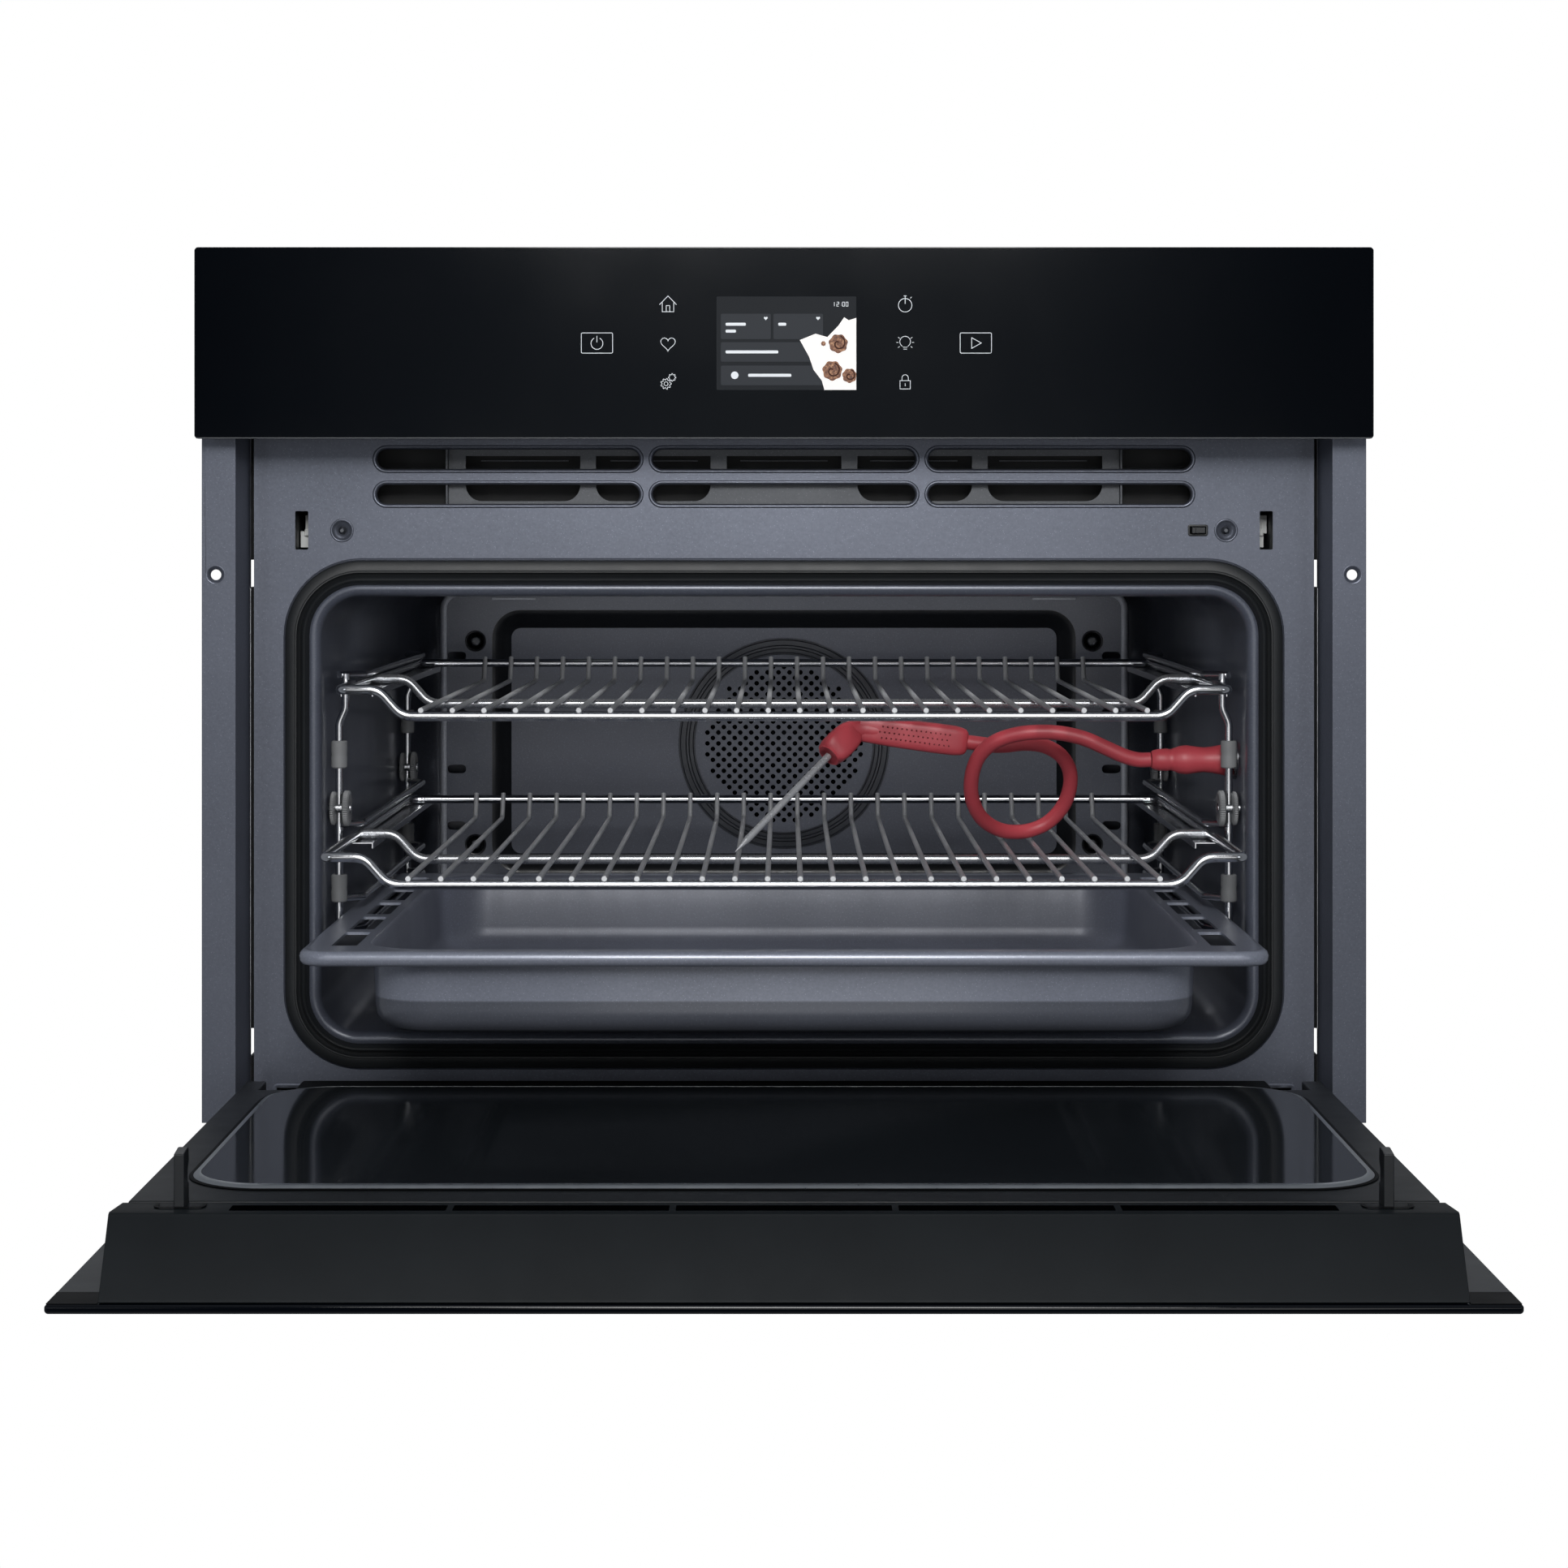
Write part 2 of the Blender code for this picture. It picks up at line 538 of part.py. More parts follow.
def make_tray():
    """The deep tray: a rim with a turned-down edge, slotted side ledges and a sloping well."""
    back = TRAY_FRONT + TRAY_DEPTH
    steps = (  # half width, inset at the front and the back, corner radius, height
        (TRAY_HALF, 0.0, 0.014, TRAY_RIM_Z - 0.0066),
        (TRAY_HALF, 0.0, 0.014, TRAY_RIM_Z),
        (TRAY_WELL_HALF + 0.0015, 0.010, 0.018, TRAY_RIM_Z),
        (TRAY_WELL_HALF - 0.0020, 0.013, 0.018, TRAY_RIM_Z - 0.0040),
        (TRAY_WELL_HALF - 0.0060, 0.019, 0.018, TRAY_FLOOR_Z + 0.0070),
        (TRAY_WELL_HALF - 0.0150, 0.026, 0.014, TRAY_FLOOR_Z),
    )
    sections = [(z, rounded(2 * half, TRAY_FRONT + inset, back - inset, radius))
                for half, inset, radius, z in steps]
    bm = bmesh.new()
    rings = [[bm.verts.new((u, w, z)) for u, w in loop] for z, loop in sections]
    for near, far in zip(rings, rings[1:]):
        count = len(near)
        for i in range(count):
            bm.faces.new((near[i], near[(i + 1) % count], far[(i + 1) % count], far[i]))
    bm.faces.new(rings[-1])
    made = add_mesh("baking_tray", bm, ENAMEL)
    shell = made.modifiers.new("Solidify", "SOLIDIFY")
    shell.thickness = 0.0014
    shell.offset = 1.0
    smooth(made)
    slots = [((sign * 0.212 - 0.0065, y - 0.027, TRAY_RIM_Z - 0.005),
              (sign * 0.212 + 0.0065, y + 0.027, TRAY_RIM_Z + 0.005))
             for _, sign in SIDES for y in (TRAY_FRONT + 0.050 + 0.064 * i for i in range(5))]
    return cut(made, boxes_tool("tray_slots", slots))


# ---------------------------------------------------------------- door, drawn open

def open_y(closed_z):
    """Where a height on the closed door lies along Y once the door is down."""
    return HINGE_Y - (closed_z - HINGE_Z)


def open_z(closed_y):
    """Where a depth in the closed door lies along Z once the door is down."""
    return HINGE_Z + (closed_y - HINGE_Y)


def make_door():
    skin = open_z(FRONT_Y)
    free, near = open_y(DOOR_HIGH), open_y(DOOR_LOW)
    pane = box("door_outer_glass", (-FRONT_WIDTH / 2, free, skin), (FRONT_WIDTH / 2, near, skin + GLASS),
               BLACK_GLASS, bevel=0.0010)
    pane.modifiers["Bevel"].limit_method = "ANGLE"

    body_low, body_high = skin + GLASS + GAP, DOOR_INNER
    frame_free, frame_near = -0.3140, -0.0045
    loops = [rectangle(-0.274, 0.274, frame_free, frame_near),
             rounded(0.488, -0.270, -0.044, 0.016)]
    frame = plate("door_frame", loops, "top", (0, 0, (body_low + body_high) / 2),
                  body_high - body_low, BLACK_PLASTIC)
    notches, pockets = [], []  # boxes in one tool stay apart, so the pockets have a tool of their own
    for _, sign in SIDES:
        notches.append(sided(sign, (HINGE_X - 0.0085, -0.030, body_low - 0.001),
                             (HINGE_X + 0.0085, 0.010, body_high + 0.001)))
        notches.append(sided(sign, (LATCH_X - 0.0050, -0.3120, 0.0240), (LATCH_X + 0.0050, -0.2955, 0.05)))
        pockets.append(sided(sign, (HINGE_X - 0.0045, -0.165, 0.0140), (HINGE_X + 0.0045, -0.020, 0.0320)))
    cut(frame, boxes_tool("door_notches", notches))
    cut(frame, boxes_tool("hinge_pockets", pockets))
    ledge = 0.0060
    cut(frame, box("pane_rest", (-0.2520, -0.2765, 0.0215 - ledge), (0.2520, -0.0375, 0.0215), tool=True))
    box("door_middle_glass", (-0.2515, -0.2760, 0.0165), (0.2515, -0.0380, 0.0205), CLEAR_GLASS)

    loops = [rounded(0.513, -0.284, -0.030, 0.034)]
    inner = plate("door_inner_glass", loops, "top", (0, 0, body_high + GAP + 0.0009), 0.0018, CLEAR_GLASS)
    inner.modifiers.new("Bevel", "BEVEL").width = 0.0005

    profile = [(frame_free - GAP, body_high), (-0.3170, body_high - 0.001), (-0.3448, body_low),
               (frame_free - GAP, body_low)]
    trim = plate("door_top_trim", [profile], "side", (0, 0, 0), 0.5524, BLACK_PLASTIC)
    cut(trim, boxes_tool("trim_vents", [((x - 0.0445, -0.3160, 0.0330), (x + 0.0445, -0.3140, 0.05))
                                        for x in (-0.184, -0.092, 0.0, 0.092, 0.184)]))


def make_latch_hooks():
    """The two door hooks, each with a foot in the frame and a barb at its tip."""
    y = open_y(LATCH_Z)
    outline = [(y - 0.0060, 0.0250), (y + 0.0060, 0.0250), (y + 0.0060, 0.0440), (y + 0.0045, 0.0560),
               (y + 0.0010, 0.0640), (y - 0.0050, 0.0650), (y - 0.0070, 0.0600), (y - 0.0020, 0.0580),
               (y - 0.0005, 0.0520), (y - 0.0040, 0.0440), (y - 0.0060, 0.0420)]
    for side, sign in SIDES:
        plate(side + "_latch_hook", [outline], "side", (sign * LATCH_X, 0, 0), 0.0044, STAINLESS)


def make_hinges():
    """On each side: a receiver fixed to the chassis, with a pin, and an arm inside the door."""
    for side, sign in SIDES:
        x = sign * HINGE_X
        eye = circle(HINGE_Y, HINGE_Z, 0.0072, 16)
        bore = circle(HINGE_Y, HINGE_Z, 0.0034, 12)
        arm = plate(side + "_hinge_arm", [eye, bore], "side", (x, 0, 0), 0.0050, GALVANISED)
        fuse(arm, [box(side + "_arm_bar", (x - 0.0025, -0.160, 0.0175),
                       (x + 0.0025, HINGE_Y - 0.0055, 0.0280), tool=True)])
        cheeks = []
        for number, offset in enumerate((-0.0052, 0.0052)):
            loops = [[(0.075, 0.0160), (0.075, 0.0310), (HINGE_Y, 0.0300), (HINGE_Y - 0.0055, 0.0270),
                      (HINGE_Y - 0.0055, 0.0190), (HINGE_Y, 0.0160)]]
            cheeks.append(plate("%s_cheek_%d" % (side, number), loops, "side", (x + offset, 0, 0),
                                0.0020, tool=True))
        made = box(side + "_hinge_receiver", (x - 0.0060, 0.030, 0.0160), (x + 0.0060, 0.075, 0.0178),
                   GALVANISED)
        pin = cylinder(side + "_pin", (x, HINGE_Y, HINGE_Z), "x", 0.0030, 0.0115, sides=12, tool=True)
        fuse(made, cheeks + [pin])


# ---------------------------------------------------------------- controls and machinery

def make_controls():
    half = FRONT_WIDTH / 2
    pane = box("control_panel_glass", (-half, FRONT_Y, PANEL_LOW), (half, FRONT_Y + GLASS, PANEL_HIGH),
               BLACK_GLASS, bevel=0.0008)
    pane.modifiers["Bevel"].limit_method = "ANGLE"
    back = FRONT_Y + GLASS + GAP
    housing = box("control_panel_housing", (-half + 0.003, back, PANEL_LOW + 0.002),
                  (half - 0.003, -0.0035, PANEL_HIGH - 0.002), BLACK_PLASTIC)
    cut(housing, boxes_tool("housing_hollow", [((-half + 0.005, back + 0.002, PANEL_LOW + 0.004),
                                                (half - 0.005, 0.01, PANEL_HIGH - 0.004))]))
    cut(housing, boxes_tool("housing_window", [((-0.0375, back - 0.01, 0.3910), (0.0375, 0.0, 0.4430))]))
    box("display_module", (-0.0370, back, 0.3915), (0.0370, back + 0.0060, 0.4425), SCREEN, bevel=0.0005)
    board = box("control_board", (-0.130, -0.0080, 0.3800), (0.130, -0.0064, 0.4520), BOARD)
    chips = [((x, -0.0066, 0.395), (x + 0.012, -0.0040, 0.407)) for x in (-0.09, -0.05, 0.04, 0.09)]
    fuse(board, [box("chip_%d" % i, *pair, tool=True) for i, pair in enumerate(chips)])


def make_cooling():
    """The blower above the insulation and the duct that leads its air to the front vents."""
    top, bottom = 0.3720, 0.3290
    duct = box("vent_duct", (-0.1760, FRAME_Y + FRAME_SHEET + GAP, bottom), (0.1760, 0.2450, top),
               GALVANISED)
    cut(duct, boxes_tool("duct_hollow", [((-0.1748, 0.0, bottom + SHEET), (0.1748, 0.30, top - SHEET))]))
    y = 0.318
    # The blower draws from above and blows forward into the duct.
    housing = cylinder("blower_housing", (0, y, 0.3505), "z", 0.070, 0.043, GALVANISED, 32)
    fuse(housing, [box("blower_mouth", (-0.060, 0.2454, bottom), (0.060, y, top), tool=True)])
    cut(housing, many("blower_hollow", [
        lambda bm: cylinder_mesh(bm, (0, y, 0.3505), "z", 0.0688, 0.0406, 32)]))
    cut(housing, box("mouth_hollow", (-0.0588, 0.20, bottom + SHEET), (0.0588, y - 0.040, top - SHEET),
                     tool=True))
    cut(housing, cylinder("blower_inlet", (0, y, top), "z", 0.040, 0.01, sides=24, tool=True))
    wheel = cylinder("blower_wheel", (0, y, 0.3345), "z", 0.056, 0.0020, BLACK_PLASTIC, 24)
    vanes = []
    for number in range(12):
        vane = box("vane_%d" % number, (0.044, -0.0008, 0.3350), (0.0555, 0.0008, 0.3620), tool=True)
        vane.data.transform(Matrix.Translation((0, y, 0)) @ Matrix.Rotation(math.pi * number / 6, 4, "Z"))
        vanes.append(vane)
    vanes.append(cylinder("wheel_hub", (0, y, 0.3420), "z", 0.010, 0.014, sides=12, tool=True))
    fuse(wheel, vanes)


def make_microwave():
    """The magnetron beside the blower and the waveguide that feeds the cavity's ceiling."""
    body = box("magnetron", (0.098, 0.300, 0.3420), (0.172, 0.372, 0.4020), GALVANISED, bevel=0.001)
    body.modifiers["Bevel"].limit_method = "ANGLE"
    fins = [((0.104, 0.290, z), (0.166, 0.382, z + 0.0010)) for z in (0.352, 0.360, 0.368, 0.376)]
    fuse(body, [box("fin_%d" % i, *pair, tool=True) for i, pair in enumerate(fins)]
         + [cylinder("antenna", (0.135, 0.336, 0.3370), "z", 0.0080, 0.012, sides=16, tool=True)])
    guide = box("waveguide", (0.085, 0.280, 0.3212), (0.185, 0.430, 0.3415), GALVANISED)
    cut(guide, boxes_tool("guide_hollow", [((0.0862, 0.2812, 0.3224), (0.1838, 0.4288, 0.3403))]))
    cut(guide, cylinder("guide_port", (0.135, 0.336, 0.3410), "z", 0.0120, 0.01, sides=16, tool=True))


def make_electrics():
    box("power_board", (-0.220, 0.300, 0.3400), (-0.100, 0.440, 0.3416), BOARD)
    block = bpy.data.objects["power_board"]
    blocks = [((-0.210, 0.310, 0.3410), (-0.180, 0.345, 0.366)), ((-0.165, 0.320, 0.3410),
              (-0.135, 0.360, 0.360)), ((-0.205, 0.385, 0.3410), (-0.160, 0.425, 0.372))]
    fuse(block, [box("power_part_%d" % i, *pair, tool=True) for i, pair in enumerate(blocks)])
    strip = box("terminal_block", (0.150, 0.500, 0.3950), (0.210, 0.5380, 0.4250), BLACK_PLASTIC)
    cut(strip, boxes_tool("terminal_ways", [((x, 0.490, 0.412), (x + 0.012, 0.525, 0.43))
                                            for x in (0.156, 0.174, 0.192)]))


def make_interlocks():
    """The latch modules that the door's hooks enter, their levers, and the door switch."""
    for side, sign in SIDES:
        x = LATCH_X
        low, high = sided(sign, (x - 0.0075, FRAME_Y + FRAME_SHEET + GAP, 0.3030),
                          (x + 0.0125, 0.0780, 0.3430))
        module = box(side + "_latch_interlock", low, high, BLACK_PLASTIC)
        low, high = sided(sign, (x - 0.0040, 0.0, 0.3100), (x + 0.0040, 0.0700, 0.3360))
        cut(module, box(side + "_latch_pocket", low, high, tool=True))
        outline = [(0.0440, 0.3140), (0.0600, 0.3140), (0.0660, 0.3170), (0.0660, 0.3210),
                   (0.0560, 0.3230), (0.0520, 0.3310), (0.0440, 0.3310)]
        plate(side + "_interlock_lever", [outline], "side", (sign * x, 0, 0), 0.0050, GREY_PLASTIC)
    body = box("door_switch", (0.2065, FRAME_Y + FRAME_SHEET + GAP, 0.3155), (0.2235, 0.0560, 0.3305),
               BLACK_PLASTIC)
    cut(body, box("switch_bore", (0.2110, 0.0, 0.3192), (0.2190, 0.0540, 0.3268), tool=True))
    box("door_switch_plunger", (0.2114, 0.0210, 0.3196), (0.2186, 0.0500, 0.3264), BLACK_PLASTIC,
        bevel=0.0008)


PROBE_ROUTE = (  # the cord from the handle, once round over the rack's rods, and up to the plug
    (0.0989, 0.0900, 0.2088), (0.1045, 0.0900, 0.2081), (0.1131, 0.0905, 0.2070), (0.1206, 0.0920, 0.2070),
    (0.1300, 0.0945, 0.2078), (0.1412, 0.0985, 0.2062), (0.1505, 0.1035, 0.2008), (0.1560, 0.1100, 0.1920),
    (0.1565, 0.1165, 0.1812), (0.1525, 0.1220, 0.1702), (0.1435, 0.1250, 0.1612), (0.1310, 0.1232, 0.1574),
    (0.1180, 0.1165, 0.1592), (0.1074, 0.1055, 0.1668), (0.1018, 0.0940, 0.1782), (0.1010, 0.0845, 0.1905),
    (0.1042, 0.0775, 0.2015), (0.1115, 0.0725, 0.2094), (0.1220, 0.0700, 0.2138), (0.1345, 0.0685, 0.2155),
    (0.1475, 0.0675, 0.2150), (0.1600, 0.0668, 0.2122), (0.1715, 0.0662, 0.2072), (0.1810, 0.0660, 0.2030),
    (0.1885, PROBE_Y, PROBE_Z), (0.1951, PROBE_Y, PROBE_Z),
)
CORD_RADIUS = 0.004
SPIKE_TIP = (-0.0255, 0.0355, 0.1550)


def smooth_route(points, between):
    """A Catmull-Rom curve through the points, read off at equal steps between each pair."""
    points = [Vector(point) for point in points]
    ends = [2 * points[0] - points[1], *points, 2 * points[-1] - points[-2]]
    route = []
    for a, b, c, d in zip(ends, ends[1:], ends[2:], ends[3:]):
        for step in range(between):
            t = step / between
            route.append(0.5 * (2 * b + (c - a) * t + (2 * a - 5 * b + 4 * c - d) * t * t
                                + (3 * b - a - 3 * c + d) * t * t * t))
    return [*route, points[-1]]


def make_probe():
    """The food probe: plug in the wall socket, cord, handle and spike on the lower rack."""
    wall = MOUTH_WIDTH / 2
    socket = cylinder("probe_socket", (wall + 0.0095, PROBE_Y, PROBE_Z), "x", 0.0082, 0.024, STAINLESS, 20)
    fuse(socket, [cylinder("socket_collar", (wall - 0.0018, PROBE_Y, PROBE_Z), "x", 0.0105, 0.0020,
                           sides=20, tool=True)])
    cut(socket, cylinder("socket_bore", (wall, PROBE_Y, PROBE_Z), "x", 0.0036, 0.034, sides=16, tool=True))

    plug = cylinder("probe_plug", (0.2165, PROBE_Y, PROBE_Z), "x", 0.0062, 0.0420, RED_SILICONE, 20,
                    far=0.0090)
    fuse(plug, [cylinder("plug_pin", (0.2430, PROBE_Y, PROBE_Z), "x", 0.0031, 0.0230, sides=12, tool=True)])

    wire("probe_cord", smooth_route(PROBE_ROUTE, 2), CORD_RADIUS, RED_SILICONE, tool=False)

    # The spike's tip stands on a rod of the lower rack, and the handle leans up from it.
    start, elbow, tip = Vector(PROBE_ROUTE[0]), Vector((0.0387, 0.0900, 0.2165)), Vector(SPIKE_TIP)
    tail = start + GAP * (elbow - start).normalized()
    along = (tip - elbow).normalized()
    nose = elbow + 0.024 * along
    grip = wire("probe_handle", [tail, elbow], 0.0080, RED_SILICONE, rounding=4, tool=False)
    fuse(grip, [wire("probe_head", [elbow - 0.004 * along, nose], 0.0078, rounding=4)])
    cut(grip, wire("spike_bore", [nose - 0.012 * along, nose + 0.010 * along], 0.0024, rounding=3))
    wire("probe_spike", [nose - 0.011 * along, tip], 0.0020, STAINLESS, rounding=2, tool=False)


make_base_pan()
make_side_panels()
make_top_cover()
make_rear_panel()
make_front_frame()
make_flanges()
make_cavity_liner()
make_fan_baffle()
make_fan()
make_grill_element()
make_insulation()
make_gasket()
make_oven_lamp()
make_side_racks()
make_wire_rack("upper_rack", UPPER_FRONT, UPPER_Z)
make_wire_rack("lower_rack", LOWER_FRONT, LOWER_Z)
make_tray()
make_door()
make_latch_hooks()
make_hinges()
make_controls()
make_cooling()
make_microwave()
make_electrics()
make_interlocks()
make_probe()
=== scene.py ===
"""The looks of a compact built-in oven, shown with its door down and its racks drawn out in steps.

Lengths are in metres: +X to the oven's right, +Y into the cabinet, +Z up.
"""
import json
import math

import bmesh
import bpy
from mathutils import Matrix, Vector

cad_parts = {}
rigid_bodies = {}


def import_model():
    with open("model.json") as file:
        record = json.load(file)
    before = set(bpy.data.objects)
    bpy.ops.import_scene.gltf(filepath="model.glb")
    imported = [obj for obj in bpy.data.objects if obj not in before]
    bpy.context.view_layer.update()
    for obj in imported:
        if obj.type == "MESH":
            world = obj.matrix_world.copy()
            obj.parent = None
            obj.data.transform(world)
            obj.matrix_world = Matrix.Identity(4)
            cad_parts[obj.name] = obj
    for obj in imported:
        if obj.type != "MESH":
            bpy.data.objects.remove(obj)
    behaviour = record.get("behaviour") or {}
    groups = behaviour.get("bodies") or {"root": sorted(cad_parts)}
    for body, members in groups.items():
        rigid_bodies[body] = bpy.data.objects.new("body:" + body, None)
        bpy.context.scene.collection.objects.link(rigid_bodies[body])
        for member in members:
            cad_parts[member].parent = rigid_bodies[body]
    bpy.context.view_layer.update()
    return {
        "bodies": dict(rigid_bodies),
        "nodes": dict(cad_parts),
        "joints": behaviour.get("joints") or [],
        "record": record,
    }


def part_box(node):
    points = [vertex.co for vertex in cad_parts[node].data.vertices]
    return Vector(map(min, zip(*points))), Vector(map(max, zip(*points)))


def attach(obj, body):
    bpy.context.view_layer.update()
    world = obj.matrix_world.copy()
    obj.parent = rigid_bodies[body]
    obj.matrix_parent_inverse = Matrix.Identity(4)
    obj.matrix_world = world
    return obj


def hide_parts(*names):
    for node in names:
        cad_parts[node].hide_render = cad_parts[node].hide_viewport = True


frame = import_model()
NODES = frame["nodes"]
SIDES = (("left", -1), ("right", 1))
FLOOR_Z = -0.0006  # just under the door, so that the two don't share a plane


# ---------------------------------------------------------------- node trees

class Nodes:
    """Short ways to build a node tree."""

    def __init__(self, tree):
        self.nodes, self.link = tree.nodes, tree.links.new

    def add(self, kind, **values):
        """A new node, with values for its inputs (spaces written as underscores)."""
        node = self.nodes.new("ShaderNode" + kind)
        for socket, value in values.items():
            node.inputs[socket.replace("_", " ")].default_value = value
        return node

    def on_object(self, kind, **values):
        """A node that is fed with places in the frame's own metres."""
        node = self.add(kind, **values)
        self.link(self.add("TexCoord").outputs["Object"], node.inputs["Vector"])
        return node

    def noise(self, scale, detail=2.0, stretch=(1, 1, 1)):
        mapping = self.on_object("Mapping", Scale=stretch)
        noise = self.add("TexNoise", Scale=scale, Detail=detail)
        self.link(mapping.outputs["Vector"], noise.inputs["Vector"])
        return noise.outputs["Fac"]

    def ramp(self, source, *stops):
        """A colour ramp; each stop is its place and colour."""
        made = self.add("ValToRGB")
        elements = made.color_ramp.elements
        while len(elements) < len(stops):
            elements.new(0.5)
        for element, (place, colour) in zip(elements, stops):
            element.position = place
            element.color = (*colour, 1.0)
        self.link(source, made.inputs["Fac"])
        return made.outputs["Color"]

    def mix(self, share, one, colour):
        """The source's colour, taken by the share towards a constant one."""
        made = self.add("Mix")
        made.data_type = "RGBA"
        self.link(share, made.inputs["Factor"])
        self.link(one, made.inputs["A"])
        made.inputs["B"].default_value = (*colour, 1.0)
        return made.outputs["Result"]

    def to_range(self, source, low, high, from_low=0.0, from_high=1.0):
        made = self.add("MapRange", From_Min=from_low, From_Max=from_high, To_Min=low, To_Max=high)
        self.link(source, made.inputs["Value"])
        return made.outputs["Result"]

    def split(self, source):
        """The x, y and z outputs of a vector."""
        made = self.add("SeparateXYZ")
        self.link(source, made.inputs["Vector"])
        return made.outputs


class Paint(Nodes):
    """A new material: constant values on its shader, and textures that vary them."""

    def __init__(self, name, colour, roughness, metallic=0.0, **sockets):
        self.material = bpy.data.materials.new(name)
        self.material.use_nodes = True
        super().__init__(self.material.node_tree)
        self.shader = self.nodes["Principled BSDF"]
        self.colour = colour
        for socket, value in {"Base_Color": (*colour, 1.0), "Roughness": roughness,
                              "Metallic": metallic, **sockets}.items():
            self.shader.inputs[socket.replace("_", " ")].default_value = value

    def vary(self, socket, source):
        self.link(source, self.shader.inputs[socket])

    def shade(self, factor):
        return tuple(channel * factor for channel in self.colour)

    def tint(self, source, dark, light, low=0.3, high=0.7):
        """The base colour goes from a darker to a lighter shade of itself with the source."""
        self.vary("Base Color", self.ramp(source, (low, self.shade(dark)), (high, self.shade(light))))

    def haze(self, low, high, *noise):
        """The roughness goes from low to high with a noise."""
        self.vary("Roughness", self.to_range(self.noise(*noise), low, high))

    def bump(self, source, depth, strength):
        made = self.add("Bump", Strength=strength, Distance=depth)
        self.link(source, made.inputs["Height"])
        self.vary("Normal", made.outputs["Normal"])


# ---------------------------------------------------------------- camera and light

def make_camera():
    data = bpy.data.cameras.new("camera")
    data.lens = 72.7
    data.sensor_width = 36.0
    data.shift_y = -0.156
    camera = bpy.data.objects.new("camera", data)
    camera.location = (0.0, -1.6197, 0.3183)
    camera.rotation_euler = (math.pi / 2, 0.0, 0.0)
    bpy.context.scene.collection.objects.link(camera)
    bpy.context.scene.camera = camera


def area_light(name, place, target, width, height, power, colour=(1.0, 1.0, 1.0)):
    data = bpy.data.lights.new(name, "AREA")
    data.shape = "RECTANGLE"
    data.size, data.size_y = width, height
    data.energy = power
    data.color = colour
    light = bpy.data.objects.new(name, data)
    light.location = place
    light.rotation_euler = (Vector(target) - Vector(place)).to_track_quat("-Z", "Y").to_euler()
    light.visible_camera = False
    bpy.context.scene.collection.objects.link(light)
    return light


def fading_light(name, place, target, width, height, power):
    """An area light that fades smoothly from its middle to its left and right edges."""
    light = area_light(name, place, target, width, height, power)
    light.data.use_nodes = True
    tree = Nodes(light.data.node_tree)
    value = tree.split(tree.add("NewGeometry").outputs["Parametric"])["X"]
    for operation, number in (("MULTIPLY", math.pi), ("SINE", 0.0), ("POWER", 1.8)):
        step = tree.add("Math")
        step.operation = operation
        step.inputs[1].default_value = number
        tree.link(value, step.inputs[0])
        value = step.outputs[0]
    tree.link(value, tree.nodes["Emission"].inputs["Strength"])
    return light


def make_light():
    world = bpy.data.worlds.new("studio")
    world.use_nodes = True
    tree = Nodes(world.node_tree)
    tree.nodes.clear()
    output, mix = tree.add("OutputWorld"), tree.add("MixShader")
    seen = tree.add("Background", Color=(1.0, 1.0, 1.0, 1.0))
    lit = tree.add("Background", Color=(0.86, 0.91, 1.0, 1.0))
    # the room is dark straight in front of the oven and pale to its sides and above
    towards = tree.split(tree.add("TexCoord").outputs["Generated"])["Y"]
    tree.link(tree.to_range(towards, 0.02, 0.20, -0.93, -0.50), lit.inputs["Strength"])
    tree.link(tree.add("LightPath").outputs["Is Camera Ray"], mix.inputs["Fac"])
    tree.link(lit.outputs[0], mix.inputs[1])
    tree.link(seen.outputs[0], mix.inputs[2])
    tree.link(mix.outputs[0], output.inputs["Surface"])
    bpy.context.scene.world = world
    bpy.context.scene.view_settings.view_transform = "Standard"
    area_light("key", (0.0, -2.2, 1.05), (0.0, 0.0, 0.25), 0.6, 0.6, 23)
    area_light("upper", (0.0, -2.0, 1.7), (0.0, 0.0, 0.2), 0.8, 0.8, 12)
    for side, sign in SIDES:
        area_light(side + "_fill", (sign * 1.25, -2.0, 0.5), (0.0, 0.0, 0.2), 0.4, 1.0, 2.5,
                   (0.90, 0.94, 1.0))
    area_light("front", (0.0, -2.4, 0.03), (0.0, 0.0, 0.03), 1.5, 0.68, 3.7)
    centre = fading_light("centre", (0.0, -2.4, 0.60), (0.0, 0.0, 0.60), 1.7, 0.44, 0.50)
    centre.data.color = (0.80, 0.90, 1.0)
    for inner in (area_light("cavity_lamp", (0.0, 0.16, 0.2865), (0.0, 0.2, 0.0), 0.40, 0.10, 0.25),
                  area_light("guard_wash", (0.0, 0.325, 0.284), (0.0, 0.425, 0.235), 0.34, 0.03, 0.045)):
        inner.visible_glossy = False
    area_light("back_top", (0.0, 1.9, 1.6), (0.0, 0.3, 0.2), 1.6, 1.0, 12)


def make_floor():
    bm = bmesh.new()
    bmesh.ops.create_grid(bm, x_segments=1, y_segments=1, size=8.0)
    mesh = bpy.data.meshes.new("floor")
    bm.to_mesh(mesh)
    bm.free()
    floor = bpy.data.objects.new("floor", mesh)
    floor.location.z = FLOOR_Z
    floor.visible_diffuse = False
    floor.visible_glossy = False
    floor.visible_shadow = False
    bpy.context.scene.collection.objects.link(floor)
    mesh.materials.append(Paint("pale_floor", (0.0, 0.0, 0.0), 0.9, Emission_Color=(1.0, 1.0, 1.0, 1.0),
                                Emission_Strength=1.0, Specular_IOR_Level=0.0).material)


# ---------------------------------------------------------------- materials

